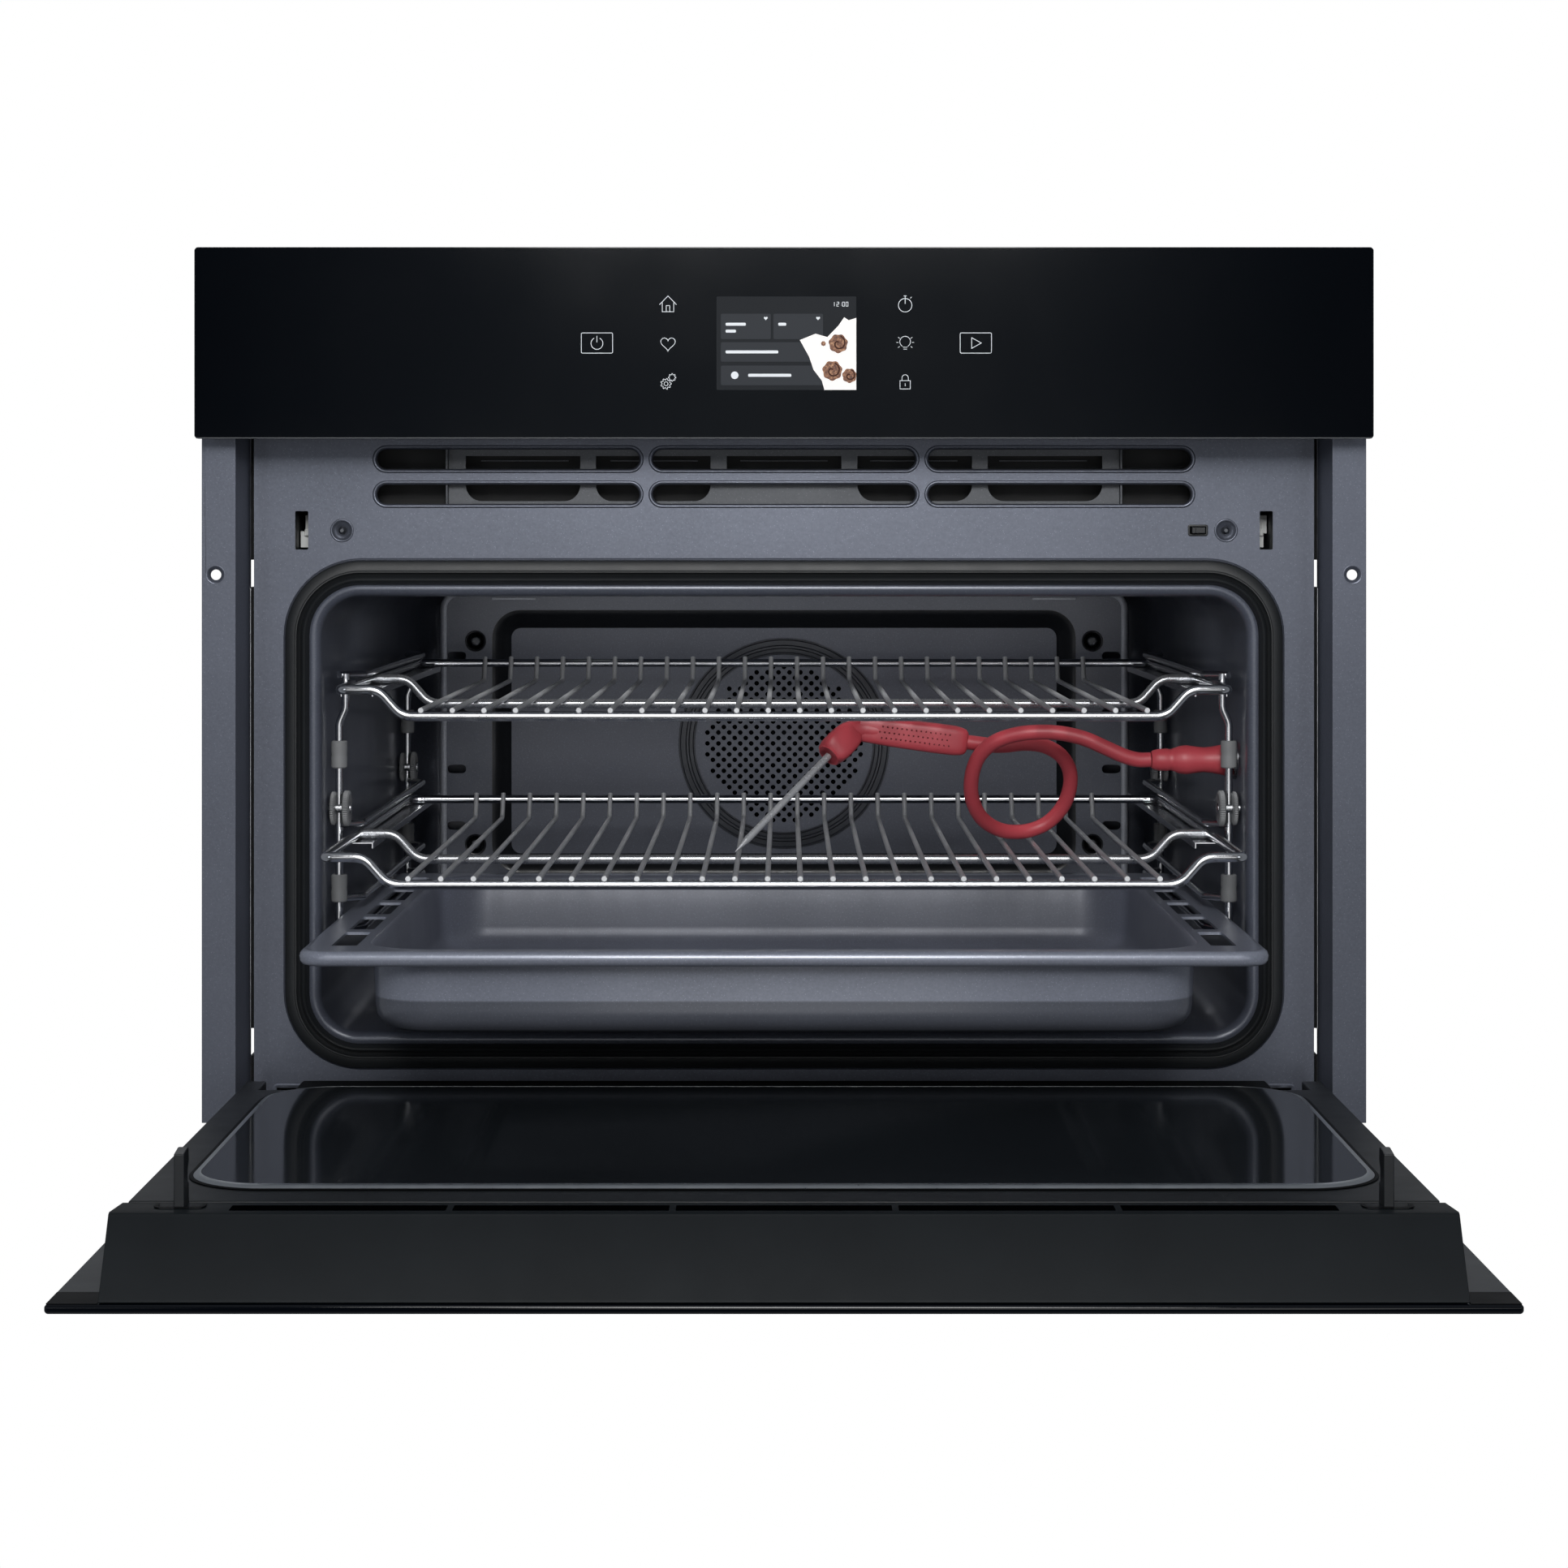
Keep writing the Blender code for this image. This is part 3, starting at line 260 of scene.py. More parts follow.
def speckled_enamel(name, colour, roughness, flake_gain, metallic=0.25, coat=0.4):
    """Grey enamel or paint with fine light flakes, soft cloudiness and a faint orange-peel skin."""
    paint = Paint(name, colour, roughness, metallic, Coat_Weight=coat, Coat_Roughness=0.12)
    cloud = paint.ramp(paint.noise(9.0, 3.0), (0.30, paint.shade(0.90)), (0.72, paint.shade(1.08)))
    grain = paint.ramp(paint.noise(900.0), (0.35, (0.0, 0.0, 0.0)), (0.75, (1.0, 1.0, 1.0)))
    grained = paint.mix(paint.to_range(grain, 0.0, 0.30), cloud, paint.shade(1.5))
    cells = paint.on_object("TexVoronoi", Scale=640.0).outputs["Distance"]
    flakes = paint.to_range(cells, 0.9, 0.0, 0.08, 0.20)
    paint.vary("Base Color", paint.mix(flakes, grained, paint.shade(flake_gain)))
    paint.haze(roughness - 0.04, roughness + 0.05, 30.0)
    paint.bump(paint.noise(350.0), 0.00012, 0.35)
    return paint.material


def smooth_glass(name, colour, roughness=0.03, specular=0.5):
    """Dark glass with faint polishing haze."""
    paint = Paint(name, colour, roughness, Specular_IOR_Level=specular)
    paint.tint(paint.noise(4.0, 3.0), 0.85, 1.15)
    paint.haze(roughness * 0.7, roughness * 1.6, 14.0, 4.0)
    return paint.material


def drawn_wire(name, colour, roughness, metallic=1.0):
    """Bright plated wire, with short drawing marks along it."""
    paint = Paint(name, colour, roughness, metallic)
    paint.haze(roughness * 0.7, roughness * 1.5, 260.0, 3.0)
    paint.tint(paint.noise(45.0), 0.86, 1.0)
    return paint.material


def sheet_steel(name, colour, roughness, spangle=0.25):
    """Zinc-coated or brushed sheet: crystal spangle, and rolling marks in the roughness."""
    paint = Paint(name, colour, roughness, 1.0)
    tone = paint.add("RGBToBW")
    paint.link(paint.on_object("TexVoronoi", Scale=95.0).outputs["Color"], tone.inputs["Color"])
    paint.tint(tone.outputs["Val"], 1.0 - spangle, 1.0 + 0.4 * spangle, 0.1, 0.9)
    paint.haze(roughness - 0.08, roughness + 0.12, 40.0, 4.0, (1, 1, 8))
    paint.bump(paint.noise(60.0), 0.00008, 0.25)
    return paint.material


def moulded(name, colour, roughness, grain_depth=0.00006, grain_scale=900.0, specular=0.5):
    """Moulded plastic or rubber with a fine erosion grain."""
    paint = Paint(name, colour, roughness, Specular_IOR_Level=specular)
    paint.tint(paint.noise(25.0, 3.0), 0.88, 1.12)
    paint.haze(roughness - 0.05, roughness + 0.06, 60.0)
    paint.bump(paint.noise(grain_scale), grain_depth, 0.5)
    return paint.material


def glass_wool(name):
    paint = Paint(name, (0.62, 0.55, 0.33), 0.95, Sheen_Weight=0.3)
    fibre = paint.noise(160.0, 6.0, (1, 1, 5))
    paint.vary("Base Color", paint.ramp(fibre, (0.3, (0.38, 0.33, 0.18)), (0.7, (0.78, 0.71, 0.48))))
    paint.bump(fibre, 0.002, 0.8)
    return paint.material


def circuit_board(name):
    paint = Paint(name, (0.01, 0.10, 0.04), 0.45)
    tracks = paint.on_object("TexBrick", Scale=180.0, Mortar_Size=0.06, Color1=(0.008, 0.075, 0.03, 1.0),
                             Color2=(0.012, 0.10, 0.04, 1.0), Mortar=(0.03, 0.20, 0.08, 1.0))
    paint.vary("Base Color", tracks.outputs["Color"])
    return paint.material


def glowing(name, colour, strength):
    return Paint(name, colour, 0.4, Specular_IOR_Level=0.08, Emission_Color=(*colour, 1.0),
                 Emission_Strength=strength).material


FRAME_PAINT = speckled_enamel("frame_paint", (0.116, 0.126, 0.157), 0.36, 1.7, 0.65, 0.05)
CAVITY_ENAMEL = speckled_enamel("cavity_enamel", (0.085, 0.094, 0.122), 0.30, 1.8, 0.20, 0.25)
TRAY_ENAMEL = speckled_enamel("tray_enamel", (0.215, 0.232, 0.285), 0.30, 1.7, 0.25, 0.4)
DUCT_STEEL = speckled_enamel("duct_steel", (0.085, 0.090, 0.100), 0.45, 2.0, 0.3, 0.1)
PANEL_GLASS = smooth_glass("panel_glass", (0.0012, 0.0020, 0.0036), 0.07, 0.42)
DOOR_GLASS = smooth_glass("door_glass", (0.0120, 0.0142, 0.0170), 0.07, 0.10)
PANE_EDGE = drawn_wire("pane_edge", (0.55, 0.58, 0.60), 0.30)
CHROME = drawn_wire("chrome_wire", (0.72, 0.73, 0.75), 0.16)
# a darker copy of the chrome for the middle bar: painted shade
SHADED_MIDDLE_CHROME = drawn_wire("middle_chrome_painted_shade", (0.42, 0.43, 0.45), 0.24, 0.8)
ROD_CHROME = drawn_wire("rod_chrome", (0.62, 0.63, 0.65), 0.36, 0.55)
STAINLESS = drawn_wire("stainless", (0.52, 0.53, 0.55), 0.24)
GALVANISED = sheet_steel("galvanised_steel", (0.46, 0.47, 0.49), 0.38)
MACHINERY = sheet_steel("machinery_steel", (0.36, 0.37, 0.38), 0.45, 0.1)
BLACK_PLASTIC = moulded("black_plastic", (0.0085, 0.0100, 0.0120), 0.42)
TRIM_PLASTIC = moulded("trim_plastic", (0.0075, 0.0095, 0.0112), 0.50, specular=0.12)
SLEEVE = moulded("ceramic_sleeve", (0.21, 0.215, 0.22), 0.55, 0.0001, 500.0)
GASKET = moulded("gasket_silicone", (0.0105, 0.0120, 0.0135), 0.46, 0.00008, 700.0)
RED_SILICONE = moulded("red_silicone", (0.535, 0.066, 0.084), 0.42, 0.00010, 600.0)
HEATER = sheet_steel("heater_sheath", (0.030, 0.030, 0.033), 0.42, 0.4)
WOOL = glass_wool("glass_wool")
BOARD = circuit_board("circuit_board")
# near-black for plates put where there is only shade: painted shade
SHADE_BLACK = moulded("painted_shade_black", (0.0025, 0.0028, 0.0035), 0.6)
INK = glowing("white_ink", (0.74, 0.77, 0.80), 0.30)
SCREEN = glowing("screen_ground", (0.010, 0.012, 0.015), 0.35)
TILE = glowing("screen_tile", (0.026, 0.029, 0.034), 0.45)
PAPER = glowing("picture_paper", (0.80, 0.78, 0.76), 0.45)
LAMP_GLASS = smooth_glass("lamp_glass", (0.35, 0.37, 0.38), 0.08, 0.6)
GUARD_ENAMEL = speckled_enamel("guard_enamel", (0.119, 0.129, 0.162), 0.38, 1.8, 0.20, 0.15)
# pale copy of the enamel for the guard's fold and tabs: painted highlight
EDGE_HIGHLIGHT = speckled_enamel("edge_painted_highlight", (0.40, 0.42, 0.47), 0.40, 1.4, 0.2, 0.1)
# near-black copy of the guard enamel for the step and the screw cups: painted shade in the recesses
STEP_SHADE = speckled_enamel("step_painted_shade", (0.0120, 0.0132, 0.0160), 0.40, 2.0, 0.1, 0.2)
# the fan impeller made near-black: painted shade behind the guard
SHADED_FAN = sheet_steel("fan_painted_shade", (0.010, 0.010, 0.012), 0.5, 0.1)
SCREW_STEEL = drawn_wire("screw_steel", (0.11, 0.115, 0.125), 0.34)
SPIKE_STEEL = drawn_wire("spike_steel", (0.60, 0.61, 0.63), 0.24, 0.5)
ROD_END = moulded("cut_rod_end", (0.80, 0.81, 0.82), 0.35)
LEVER = moulded("lever_plastic", (0.62, 0.63, 0.62), 0.5)
DOOR_PLASTIC = moulded("door_plastic", (0.0080, 0.0098, 0.0115), 0.50, specular=0.30)
EDGE_GREY = moulded("ground_edge_grey", (0.055, 0.060, 0.066), 0.4)
# flat black without sheen: painted shade of the trim's vent slots
VENT_SHADE = moulded("vent_painted_shade", (0.0010, 0.0011, 0.0013), 0.7, specular=0.0)
# a darker copy of the tray enamel for the inside of the well: painted shade
TRAY_INNER_SHADED = speckled_enamel("tray_inner_painted_shade", (0.150, 0.162, 0.205), 0.40, 1.8, 0.15, 0.04)
# the tray enamel again, darker below mid-height on the outer wall: painted reflection of the dark door
TRAY_OUTER_REFLECTION = speckled_enamel("tray_outer_painted_reflection", (0.215, 0.232, 0.285), 0.30, 1.7, 0.25, 0.4)
# a light matte layer on the outer glass's inner face: painted reflection
GLASS_REFLECTION = moulded("glass_painted_reflection", (0.030, 0.034, 0.038), 0.50, specular=0.3)
# darker copy of the guard enamel for the ring grooves: painted shade
GROOVE_SHADE = speckled_enamel("groove_painted_shade", (0.040, 0.044, 0.055), 0.36, 1.8, 0.2, 0.2)
# black for the glass's edge strips, and for the bands and strips of painted shade in gaps and recesses
BLACK_SEAL_AND_SHADE = moulded("black_seal_and_painted_shade", (0.003, 0.0034, 0.004), 0.60, specular=0.12)
DARK_RED = moulded("dark_red_silicone", (0.150, 0.010, 0.014), 0.55)


# ---------------------------------------------------------------- shape helpers

PLANES = {  # (u, v, depth) of a flat outline to (x, y, z)
    "front": lambda u, v, d: (u, d, v),
    "top": lambda u, v, d: (u, v, d),
    "side": lambda u, v, d: (d, u, v),
}


def place_piece(made, material, body, replaces=()):
    bpy.context.scene.collection.objects.link(made)
    made.data.materials.append(material)
    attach(made, body)
    if replaces:
        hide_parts(*replaces)
    return made


def mesh_piece(name, bm, material, body, replaces=(), sharp=35):
    """A smooth-shaded mesh piece, with edges over the sharp angle kept crisp."""
    bmesh.ops.recalc_face_normals(bm, faces=bm.faces)
    mesh = bpy.data.meshes.new(name)
    bm.to_mesh(mesh)
    bm.free()
    mesh.shade_smooth()
    mesh.set_sharp_from_angle(angle=math.radians(sharp))
    return place_piece(bpy.data.objects.new(name, mesh), material, body, replaces)


def rounded(half_u, half_v, radius, steps=10, centre=(0.0, 0.0)):
    """Points round a rounded rectangle, from its lower left corner."""
    radius = max(radius, 0.00005)
    points = []
    for turn, (su, sv) in enumerate(((-1, -1), (1, -1), (1, 1), (-1, 1))):
        mid_u, mid_v = su * (half_u - radius), sv * (half_v - radius)
        for step in range(steps + 1):
            angle = math.pi * (1.0 + 0.5 * turn) + 0.5 * math.pi * step / steps
            points.append((centre[0] + mid_u + radius * math.cos(angle),
                           centre[1] + mid_v + radius * math.sin(angle)))
    return points


def ring_points(radius, sides, centre=(0.0, 0.0), phase=0.0):
    return [(centre[0] + radius * math.cos(phase + 2 * math.pi * i / sides),
             centre[1] + radius * math.sin(phase + 2 * math.pi * i / sides)) for i in range(sides)]


def join_rings(bm, rings, closed=False, first_cap=False, last_cap=False):
    """Quads between rings of the same number of points."""
    rows = [[bm.verts.new(point) for point in ring] for ring in rings]
    pairs = list(zip(rows, rows[1:])) + ([(rows[-1], rows[0])] if closed else [])
    for near, far in pairs:
        count = len(near)
        for i in range(count):
            bm.faces.new((near[i], near[(i + 1) % count], far[(i + 1) % count], far[i]))
    if first_cap:
        bm.faces.new(rows[0])
    if last_cap:
        bm.faces.new(rows[-1])


def frame_rings(half_u, half_v, radius, profile, plane, centre, steps=10):
    """Rounded rectangles grown by each profile point's offset, at its depth."""
    to_world = PLANES[plane]
    return [[to_world(u, v, depth) for u, v in
             rounded(half_u + grow, half_v + grow, radius + grow, steps, centre)]
            for grow, depth in profile]


def turned_rings(profile, plane, centre, sides):
    """Circles of each profile point's radius, at its depth."""
    to_world = PLANES[plane]
    return [[to_world(u, v, depth) for u, v in ring_points(radius, sides, centre)]
            for radius, depth in profile]


def arc(centre_u, centre_v, radius, start, end, steps):
    """Points on an arc, with its angles in degrees."""
    return [(centre_u + radius * math.cos(math.radians(start + (end - start) * i / steps)),
             centre_v + radius * math.sin(math.radians(start + (end - start) * i / steps)))
            for i in range(steps + 1)]


def slab(bm, outline, plane, low, high):
    """A closed plate of the outline between two depths."""
    to_world = PLANES[plane]
    join_rings(bm, [[to_world(u, v, d) for u, v in outline] for d in (low, high)],
               first_cap=True, last_cap=True)


def box_outline(left, right, low, high):
    return [(left, low), (right, low), (right, high), (left, high)]


def mirrored(sign, near, far):
    """The two distances from the middle as low and high x, on the side of the sign."""
    return sorted((sign * near, sign * far))


def add_bevel(made, width, segments=2, angle=35):
    bevel = made.modifiers.new("Bevel", "BEVEL")
    bevel.width = width
    bevel.segments = segments
    bevel.limit_method = "ANGLE"
    bevel.angle_limit = math.radians(angle)
    bevel.harden_normals = True
    return made


def raised(base, profile):
    """The profile with its depths counted from the base."""
    return [(offset, base + depth) for offset, depth in profile]


def slab_piece(name, outline, plane, low, high, material, body, replaces=(), bevel=0.0, segments=2):
    """A piece that is one closed plate, with bevelled edges if a width is given."""
    bm = bmesh.new()
    slab(bm, outline, plane, low, high)
    made = mesh_piece(name, bm, material, body, replaces)
    return add_bevel(made, bevel, segments) if bevel else made


def round_piece(name, profile, plane, centre, sides, material, caps=None, sharp=35):
    """A chassis piece turned from a closed profile, or from an open one with a first and last cap."""
    bm = bmesh.new()
    first, last = caps or (False, False)
    join_rings(bm, turned_rings(profile, plane, centre, sides), caps is None, first, last)
    return mesh_piece(name, bm, material, "chassis", sharp=sharp)


def add_wall(made, thickness, inner_material=0):
    """The surface becomes a sheet; its other face can take another of the piece's materials."""
    shell = made.modifiers.new("Solidify", "SOLIDIFY")
    shell.thickness = thickness
    shell.offset = -1.0
    shell.material_offset = inner_material


def bent(points, radius, steps=6, closed=False):
    """The path with each corner rounded to the radius (or its own one), as far as its legs allow."""
    points = [Vector(point) for point in points]
    count = len(points)
    radii = radius if isinstance(radius, (list, tuple)) else [radius] * count
    out = []
    for i, corner in enumerate(points):
        if not closed and i in (0, count - 1):
            out.append(corner)
            continue
        before = points[i - 1] - corner
        after = points[(i + 1) % count] - corner
        turn = math.pi - before.angle(after)
        if turn < 0.02:
            out.append(corner)
            continue
        reach = min(radii[i] * math.tan(turn / 2), 0.48 * before.length, 0.48 * after.length)
        start, end = corner + before.normalized() * reach, corner + after.normalized() * reach
        for step in range(steps + 1):
            t = step / steps
            out.append(start * (1 - t) ** 2 + corner * 2 * t * (1 - t) + end * t ** 2)
    return out


def wires(name, runs, radius, material, body, replaces=(), sides=3, closed=False, ends=True):
    """Round wires along the runs, as one curve."""
    data = bpy.data.curves.new(name, "CURVE")
    data.dimensions = "3D"
    data.bevel_depth = radius
    data.bevel_resolution = sides
    data.use_fill_caps = ends
    for run in runs:
        spline = data.splines.new("POLY")
        spline.points.add(len(run) - 1)
        for point, place in zip(spline.points, run):
            point.co = (*place, 1.0)
        spline.use_cyclic_u = closed
        spline.use_smooth = True
    return place_piece(bpy.data.objects.new(name, data), material, body, replaces)


def flat_plate(name, loops, plane, low, high, material, body, replaces=()):
    """A flat plate with holes: the first loop is its outline, the others are cut through."""
    data = bpy.data.curves.new(name + "_outline", "CURVE")
    data.dimensions = "2D"
    data.fill_mode = "BOTH"
    data.extrude = (high - low) / 2
    for loop in loops:
        spline = data.splines.new("POLY")
        spline.points.add(len(loop) - 1)
        for point, (u, v) in zip(spline.points, loop):
            point.co = (u, v, 0.0, 1.0)
        spline.use_cyclic_u = True
    flat = bpy.data.objects.new(name + "_flat", data)
    bpy.context.scene.collection.objects.link(flat)
    bpy.context.view_layer.update()
    mesh = bpy.data.meshes.new_from_object(flat.evaluated_get(bpy.context.evaluated_depsgraph_get()))
    bpy.data.objects.remove(flat)
    bm = bmesh.new()
    bm.from_mesh(mesh)
    bpy.data.meshes.remove(mesh)
    bmesh.ops.remove_doubles(bm, verts=bm.verts, dist=1e-6)
    middle = (low + high) / 2
    to_world = PLANES[plane]
    for vert in bm.verts:
        vert.co = to_world(vert.co.x, vert.co.y, middle + vert.co.z)
    return mesh_piece(name, bm, material, body, replaces)


def slot_outline(middle_u, middle_v, length, height, steps=8):
    return rounded(length / 2, height / 2, height / 2, steps, (middle_u, middle_v))


# ---------------------------------------------------------------- the food probe's cord

PROBE_ROUTE = (  # from the handle, once round over the lower rack's rods, and up to the plug
    (0.0989, 0.0900, 0.2088), (0.1045, 0.0900, 0.2081), (0.1131, 0.0905, 0.2070), (0.1206, 0.0920, 0.2070),
    (0.1300, 0.0945, 0.2078), (0.1412, 0.0985, 0.2062), (0.1505, 0.1035, 0.2008), (0.1560, 0.1100, 0.1920),
    (0.1565, 0.1165, 0.1812), (0.1525, 0.1220, 0.1702), (0.1435, 0.1250, 0.1612), (0.1310, 0.1232, 0.1574),
    (0.1180, 0.1165, 0.1592), (0.1074, 0.1055, 0.1668), (0.1018, 0.0940, 0.1782), (0.1010, 0.0845, 0.1905),
    (0.1042, 0.0775, 0.2015), (0.1115, 0.0725, 0.2094), (0.1220, 0.0700, 0.2138), (0.1345, 0.0685, 0.2155),
    (0.1475, 0.0675, 0.2150), (0.1600, 0.0668, 0.2122), (0.1715, 0.0662, 0.2072), (0.1810, 0.0660, 0.2030),
    (0.1885, 0.066, 0.201), (0.1951, 0.066, 0.201),
)
CORD_RADIUS = 0.004
CORD_STEPS = 6
ELBOW = Vector((0.0387, 0.0900, 0.2165))
SPIKE_TIP = Vector((-0.0255, 0.0355, 0.1550))
PLUG_Y, PLUG_Z = 0.066, 0.201


def smooth_route(points, between):
    """Points of a Catmull-Rom curve through the route."""
    points = [Vector(point) for point in points]
    padded = [2 * points[0] - points[1], *points, 2 * points[-1] - points[-2]]
    out = []
    for a, b, c, d in zip(padded, padded[1:], padded[2:], padded[3:]):
        for step in range(between):
            t = step / between
            out.append(0.5 * (2 * b + (c - a) * t + (2 * a - 5 * b + 4 * c - d) * t ** 2
                              + (3 * b - a - 3 * c + d) * t ** 3))
    return out + [points[-1]]


def make_cord():
    route = smooth_route(PROBE_ROUTE, CORD_STEPS)[::-1]
    return wires("probe_lead", [route], CORD_RADIUS, RED_SILICONE, "food_probe",
                 ["probe_cord"], 6)


make_camera()
cord = make_cord()
make_light()
make_floor()


# ---------------------------------------------------------------- control panel

FACE_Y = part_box("control_panel_glass")[0].y
KEY_ROW = 0.4175  # height of the middle row of keys
KEY_PITCH = 0.0196
GROUP_X = 0.0012  # middle of the display and its keys
INK_LIFT = 0.00012
LINE = 0.00030  # width of a printed line


def ribbon(bm, points, width, closed=False, low=FACE_Y - INK_LIFT, high=FACE_Y - 0.00002):
    """A thin printed line on the panel's face, along (x, z) points."""
    points = [Vector(point) for point in points]
    count = len(points)
    left, right = [], []
    for i, here in enumerate(points):
        before = points[i - 1] if closed or i else here
        after = points[(i + 1) % count] if closed or i < count - 1 else here
        legs = [leg.normalized() for leg in (here - before, after - here) if leg.length > 1e-9]
        along = sum(legs, Vector((0.0, 0.0))).normalized()
        stretch = 1.0 / max(0.45, abs(along.dot(legs[0])))
        side = Vector((-along.y, along.x)) * width / 2 * stretch
        left.append(here + side)
        right.append(here - side)
    rows = [[bm.verts.new((u, d, v)) for u, v in line]
            for line, d in ((left, low), (right, low), (right, high), (left, high))]
    span = count if closed else count - 1
    for near, far in zip(rows, rows[1:] + rows[:1]):
        for i in range(span):
            j = (i + 1) % count
            bm.faces.new((near[i], near[j], far[j], far[i]))
    if not closed:
        bm.faces.new([row[0] for row in rows])
        bm.faces.new([row[-1] for row in rows])


def printed(name, lines, material=INK, width=LINE):
    """One printed mark; lines are (points, closed)."""
    bm = bmesh.new()
    for points, closed in lines:
        ribbon(bm, points, width, closed)
    return mesh_piece(name, bm, material, "chassis")


def patch(name, outline, material, lift=INK_LIFT):
    """A thin flat shape on the display."""
    return slab_piece(name, outline, "front", FACE_Y - lift, FACE_Y - lift + 0.00010, material, "chassis")


def moved(points, x, z, scale=1.0):
    return [(x + scale * u, z + scale * v) for u, v in points]


def heart(size, steps=28):
    """A heart's outline, from the usual sine formula."""
    out = []
    for i in range(steps):
        t = 2 * math.pi * i / steps
        out.append((size * math.sin(t) ** 3,
                    size * (13 * math.cos(t) - 5 * math.cos(2 * t) - 2 * math.cos(3 * t)
                            - math.cos(4 * t)) / 16))
    return out


def gear(radius, teeth, depth):
    out = []
    for i in range(teeth * 4):
        reach = radius if i % 4 < 2 else radius - depth
        angle = 2 * math.pi * (i - 0.5) / (teeth * 4)
        out.append((reach * math.cos(angle), reach * math.sin(angle)))
    return out


def make_keys():
    """Printed touch keys: on and start in boxes, and three small keys each side of the display."""
    left, right = GROUP_X - 0.0598, GROUP_X + 0.0600
    high, low = KEY_ROW + KEY_PITCH, KEY_ROW - KEY_PITCH
    power, start = GROUP_X - 0.0957, GROUP_X + 0.0957
    for name, x in (("power", power), ("start", start)):
        printed(name + "_key_box", [(rounded(0.0079, 0.0051, 0.0006, 3, (x, KEY_ROW)), True)])
    printed("power_key", [
        (moved(arc(0, 0, 0.0030, 118, 422, 24), power, KEY_ROW - 0.0002), False),
        ([(power, KEY_ROW + 0.0036), (power, KEY_ROW + 0.0004)], False)])
    printed("start_key", [([(start - 0.0021, KEY_ROW - 0.0027), (start + 0.0028, KEY_ROW),
                            (start - 0.0021, KEY_ROW + 0.0027)], True)])
    printed("home_key", [
        (moved([(-0.0043, -0.0002), (0, 0.0042), (0.0043, -0.0002)], left, high), False),
        (moved([(-0.0029, 0.0010), (-0.0029, -0.0038), (0.0029, -0.0038), (0.0029, 0.0010)], left, high),
         False),
        (moved([(-0.0009, -0.0038), (-0.0009, -0.0007), (0.0009, -0.0007), (0.0009, -0.0038)], left, high),
         False)])
    printed("favourite_key", [(moved(heart(0.0037), left, KEY_ROW - 0.0002), True)])
    printed("settings_key", [
        (moved(gear(0.0027, 9, 0.0007), left - 0.0010, low - 0.0010), True),
        (moved(ring_points(0.0010, 14), left - 0.0010, low - 0.0010), True),
        (moved(gear(0.0019, 8, 0.0005), left + 0.0021, low + 0.0022), True)], width=0.00026)
    printed("timer_key", [
        (moved(arc(0, -0.0005, 0.0034, 100, 440, 30), right, high), True),
        (moved([(-0.0008, 0.0042), (0.0008, 0.0042)], right, high), False),
        (moved([(0, 0.0042), (0, 0.0002)], right, high), False),
        (moved([(0.0026, 0.0030), (0.0033, 0.0037)], right, high), False)])
    rays = [(moved([(0.0034 * math.cos(a), 0.0034 * math.sin(a)),
                    (0.0045 * math.cos(a), 0.0045 * math.sin(a))], right, KEY_ROW + 0.0003), False)
            for a in (math.radians(degree) for degree in (0, 36, 144, 180, 324, 216))]
    printed("lamp_key", [
        (moved(arc(0, 0.0007, 0.0027, -60, 240, 24), right, KEY_ROW), False),
        (moved([(-0.0011, -0.0021), (0.0011, -0.0021)], right, KEY_ROW), False),
        (moved([(-0.0009, -0.0031), (0.0009, -0.0031)], right, KEY_ROW), False)] + rays, width=0.00026)
    printed("lock_key", [
        (moved(box_outline(-0.0026, 0.0026, -0.0036, 0.0006), right, low), True),
        (moved([(-0.0016, 0.0006), (-0.0016, 0.0020)] + arc(0, 0.0020, 0.0016, 180, 0, 8)
               + [(0.0016, 0.0020), (0.0016, 0.0006)], right, low), False),
        (moved([(0, -0.0008), (0, -0.0022)], right, low), False)], width=0.00028)


DIGIT_STROKES = {  # seven-segment style strokes in a cell 2 wide and 4 high
    "1": [[(1.0, 4.0), (1.0, 0.0)]],
    "2": [[(0.0, 4.0), (2.0, 4.0), (2.0, 2.0), (0.0, 2.0), (0.0, 0.0), (2.0, 0.0)]],
    "0": [[(0.0, 0.0), (0.0, 4.0), (2.0, 4.0), (2.0, 0.0), (0.0, 0.0)]],
    ":": [[(1.0, 2.7), (1.0, 3.1)], [(1.0, 0.9), (1.0, 1.3)]],
}


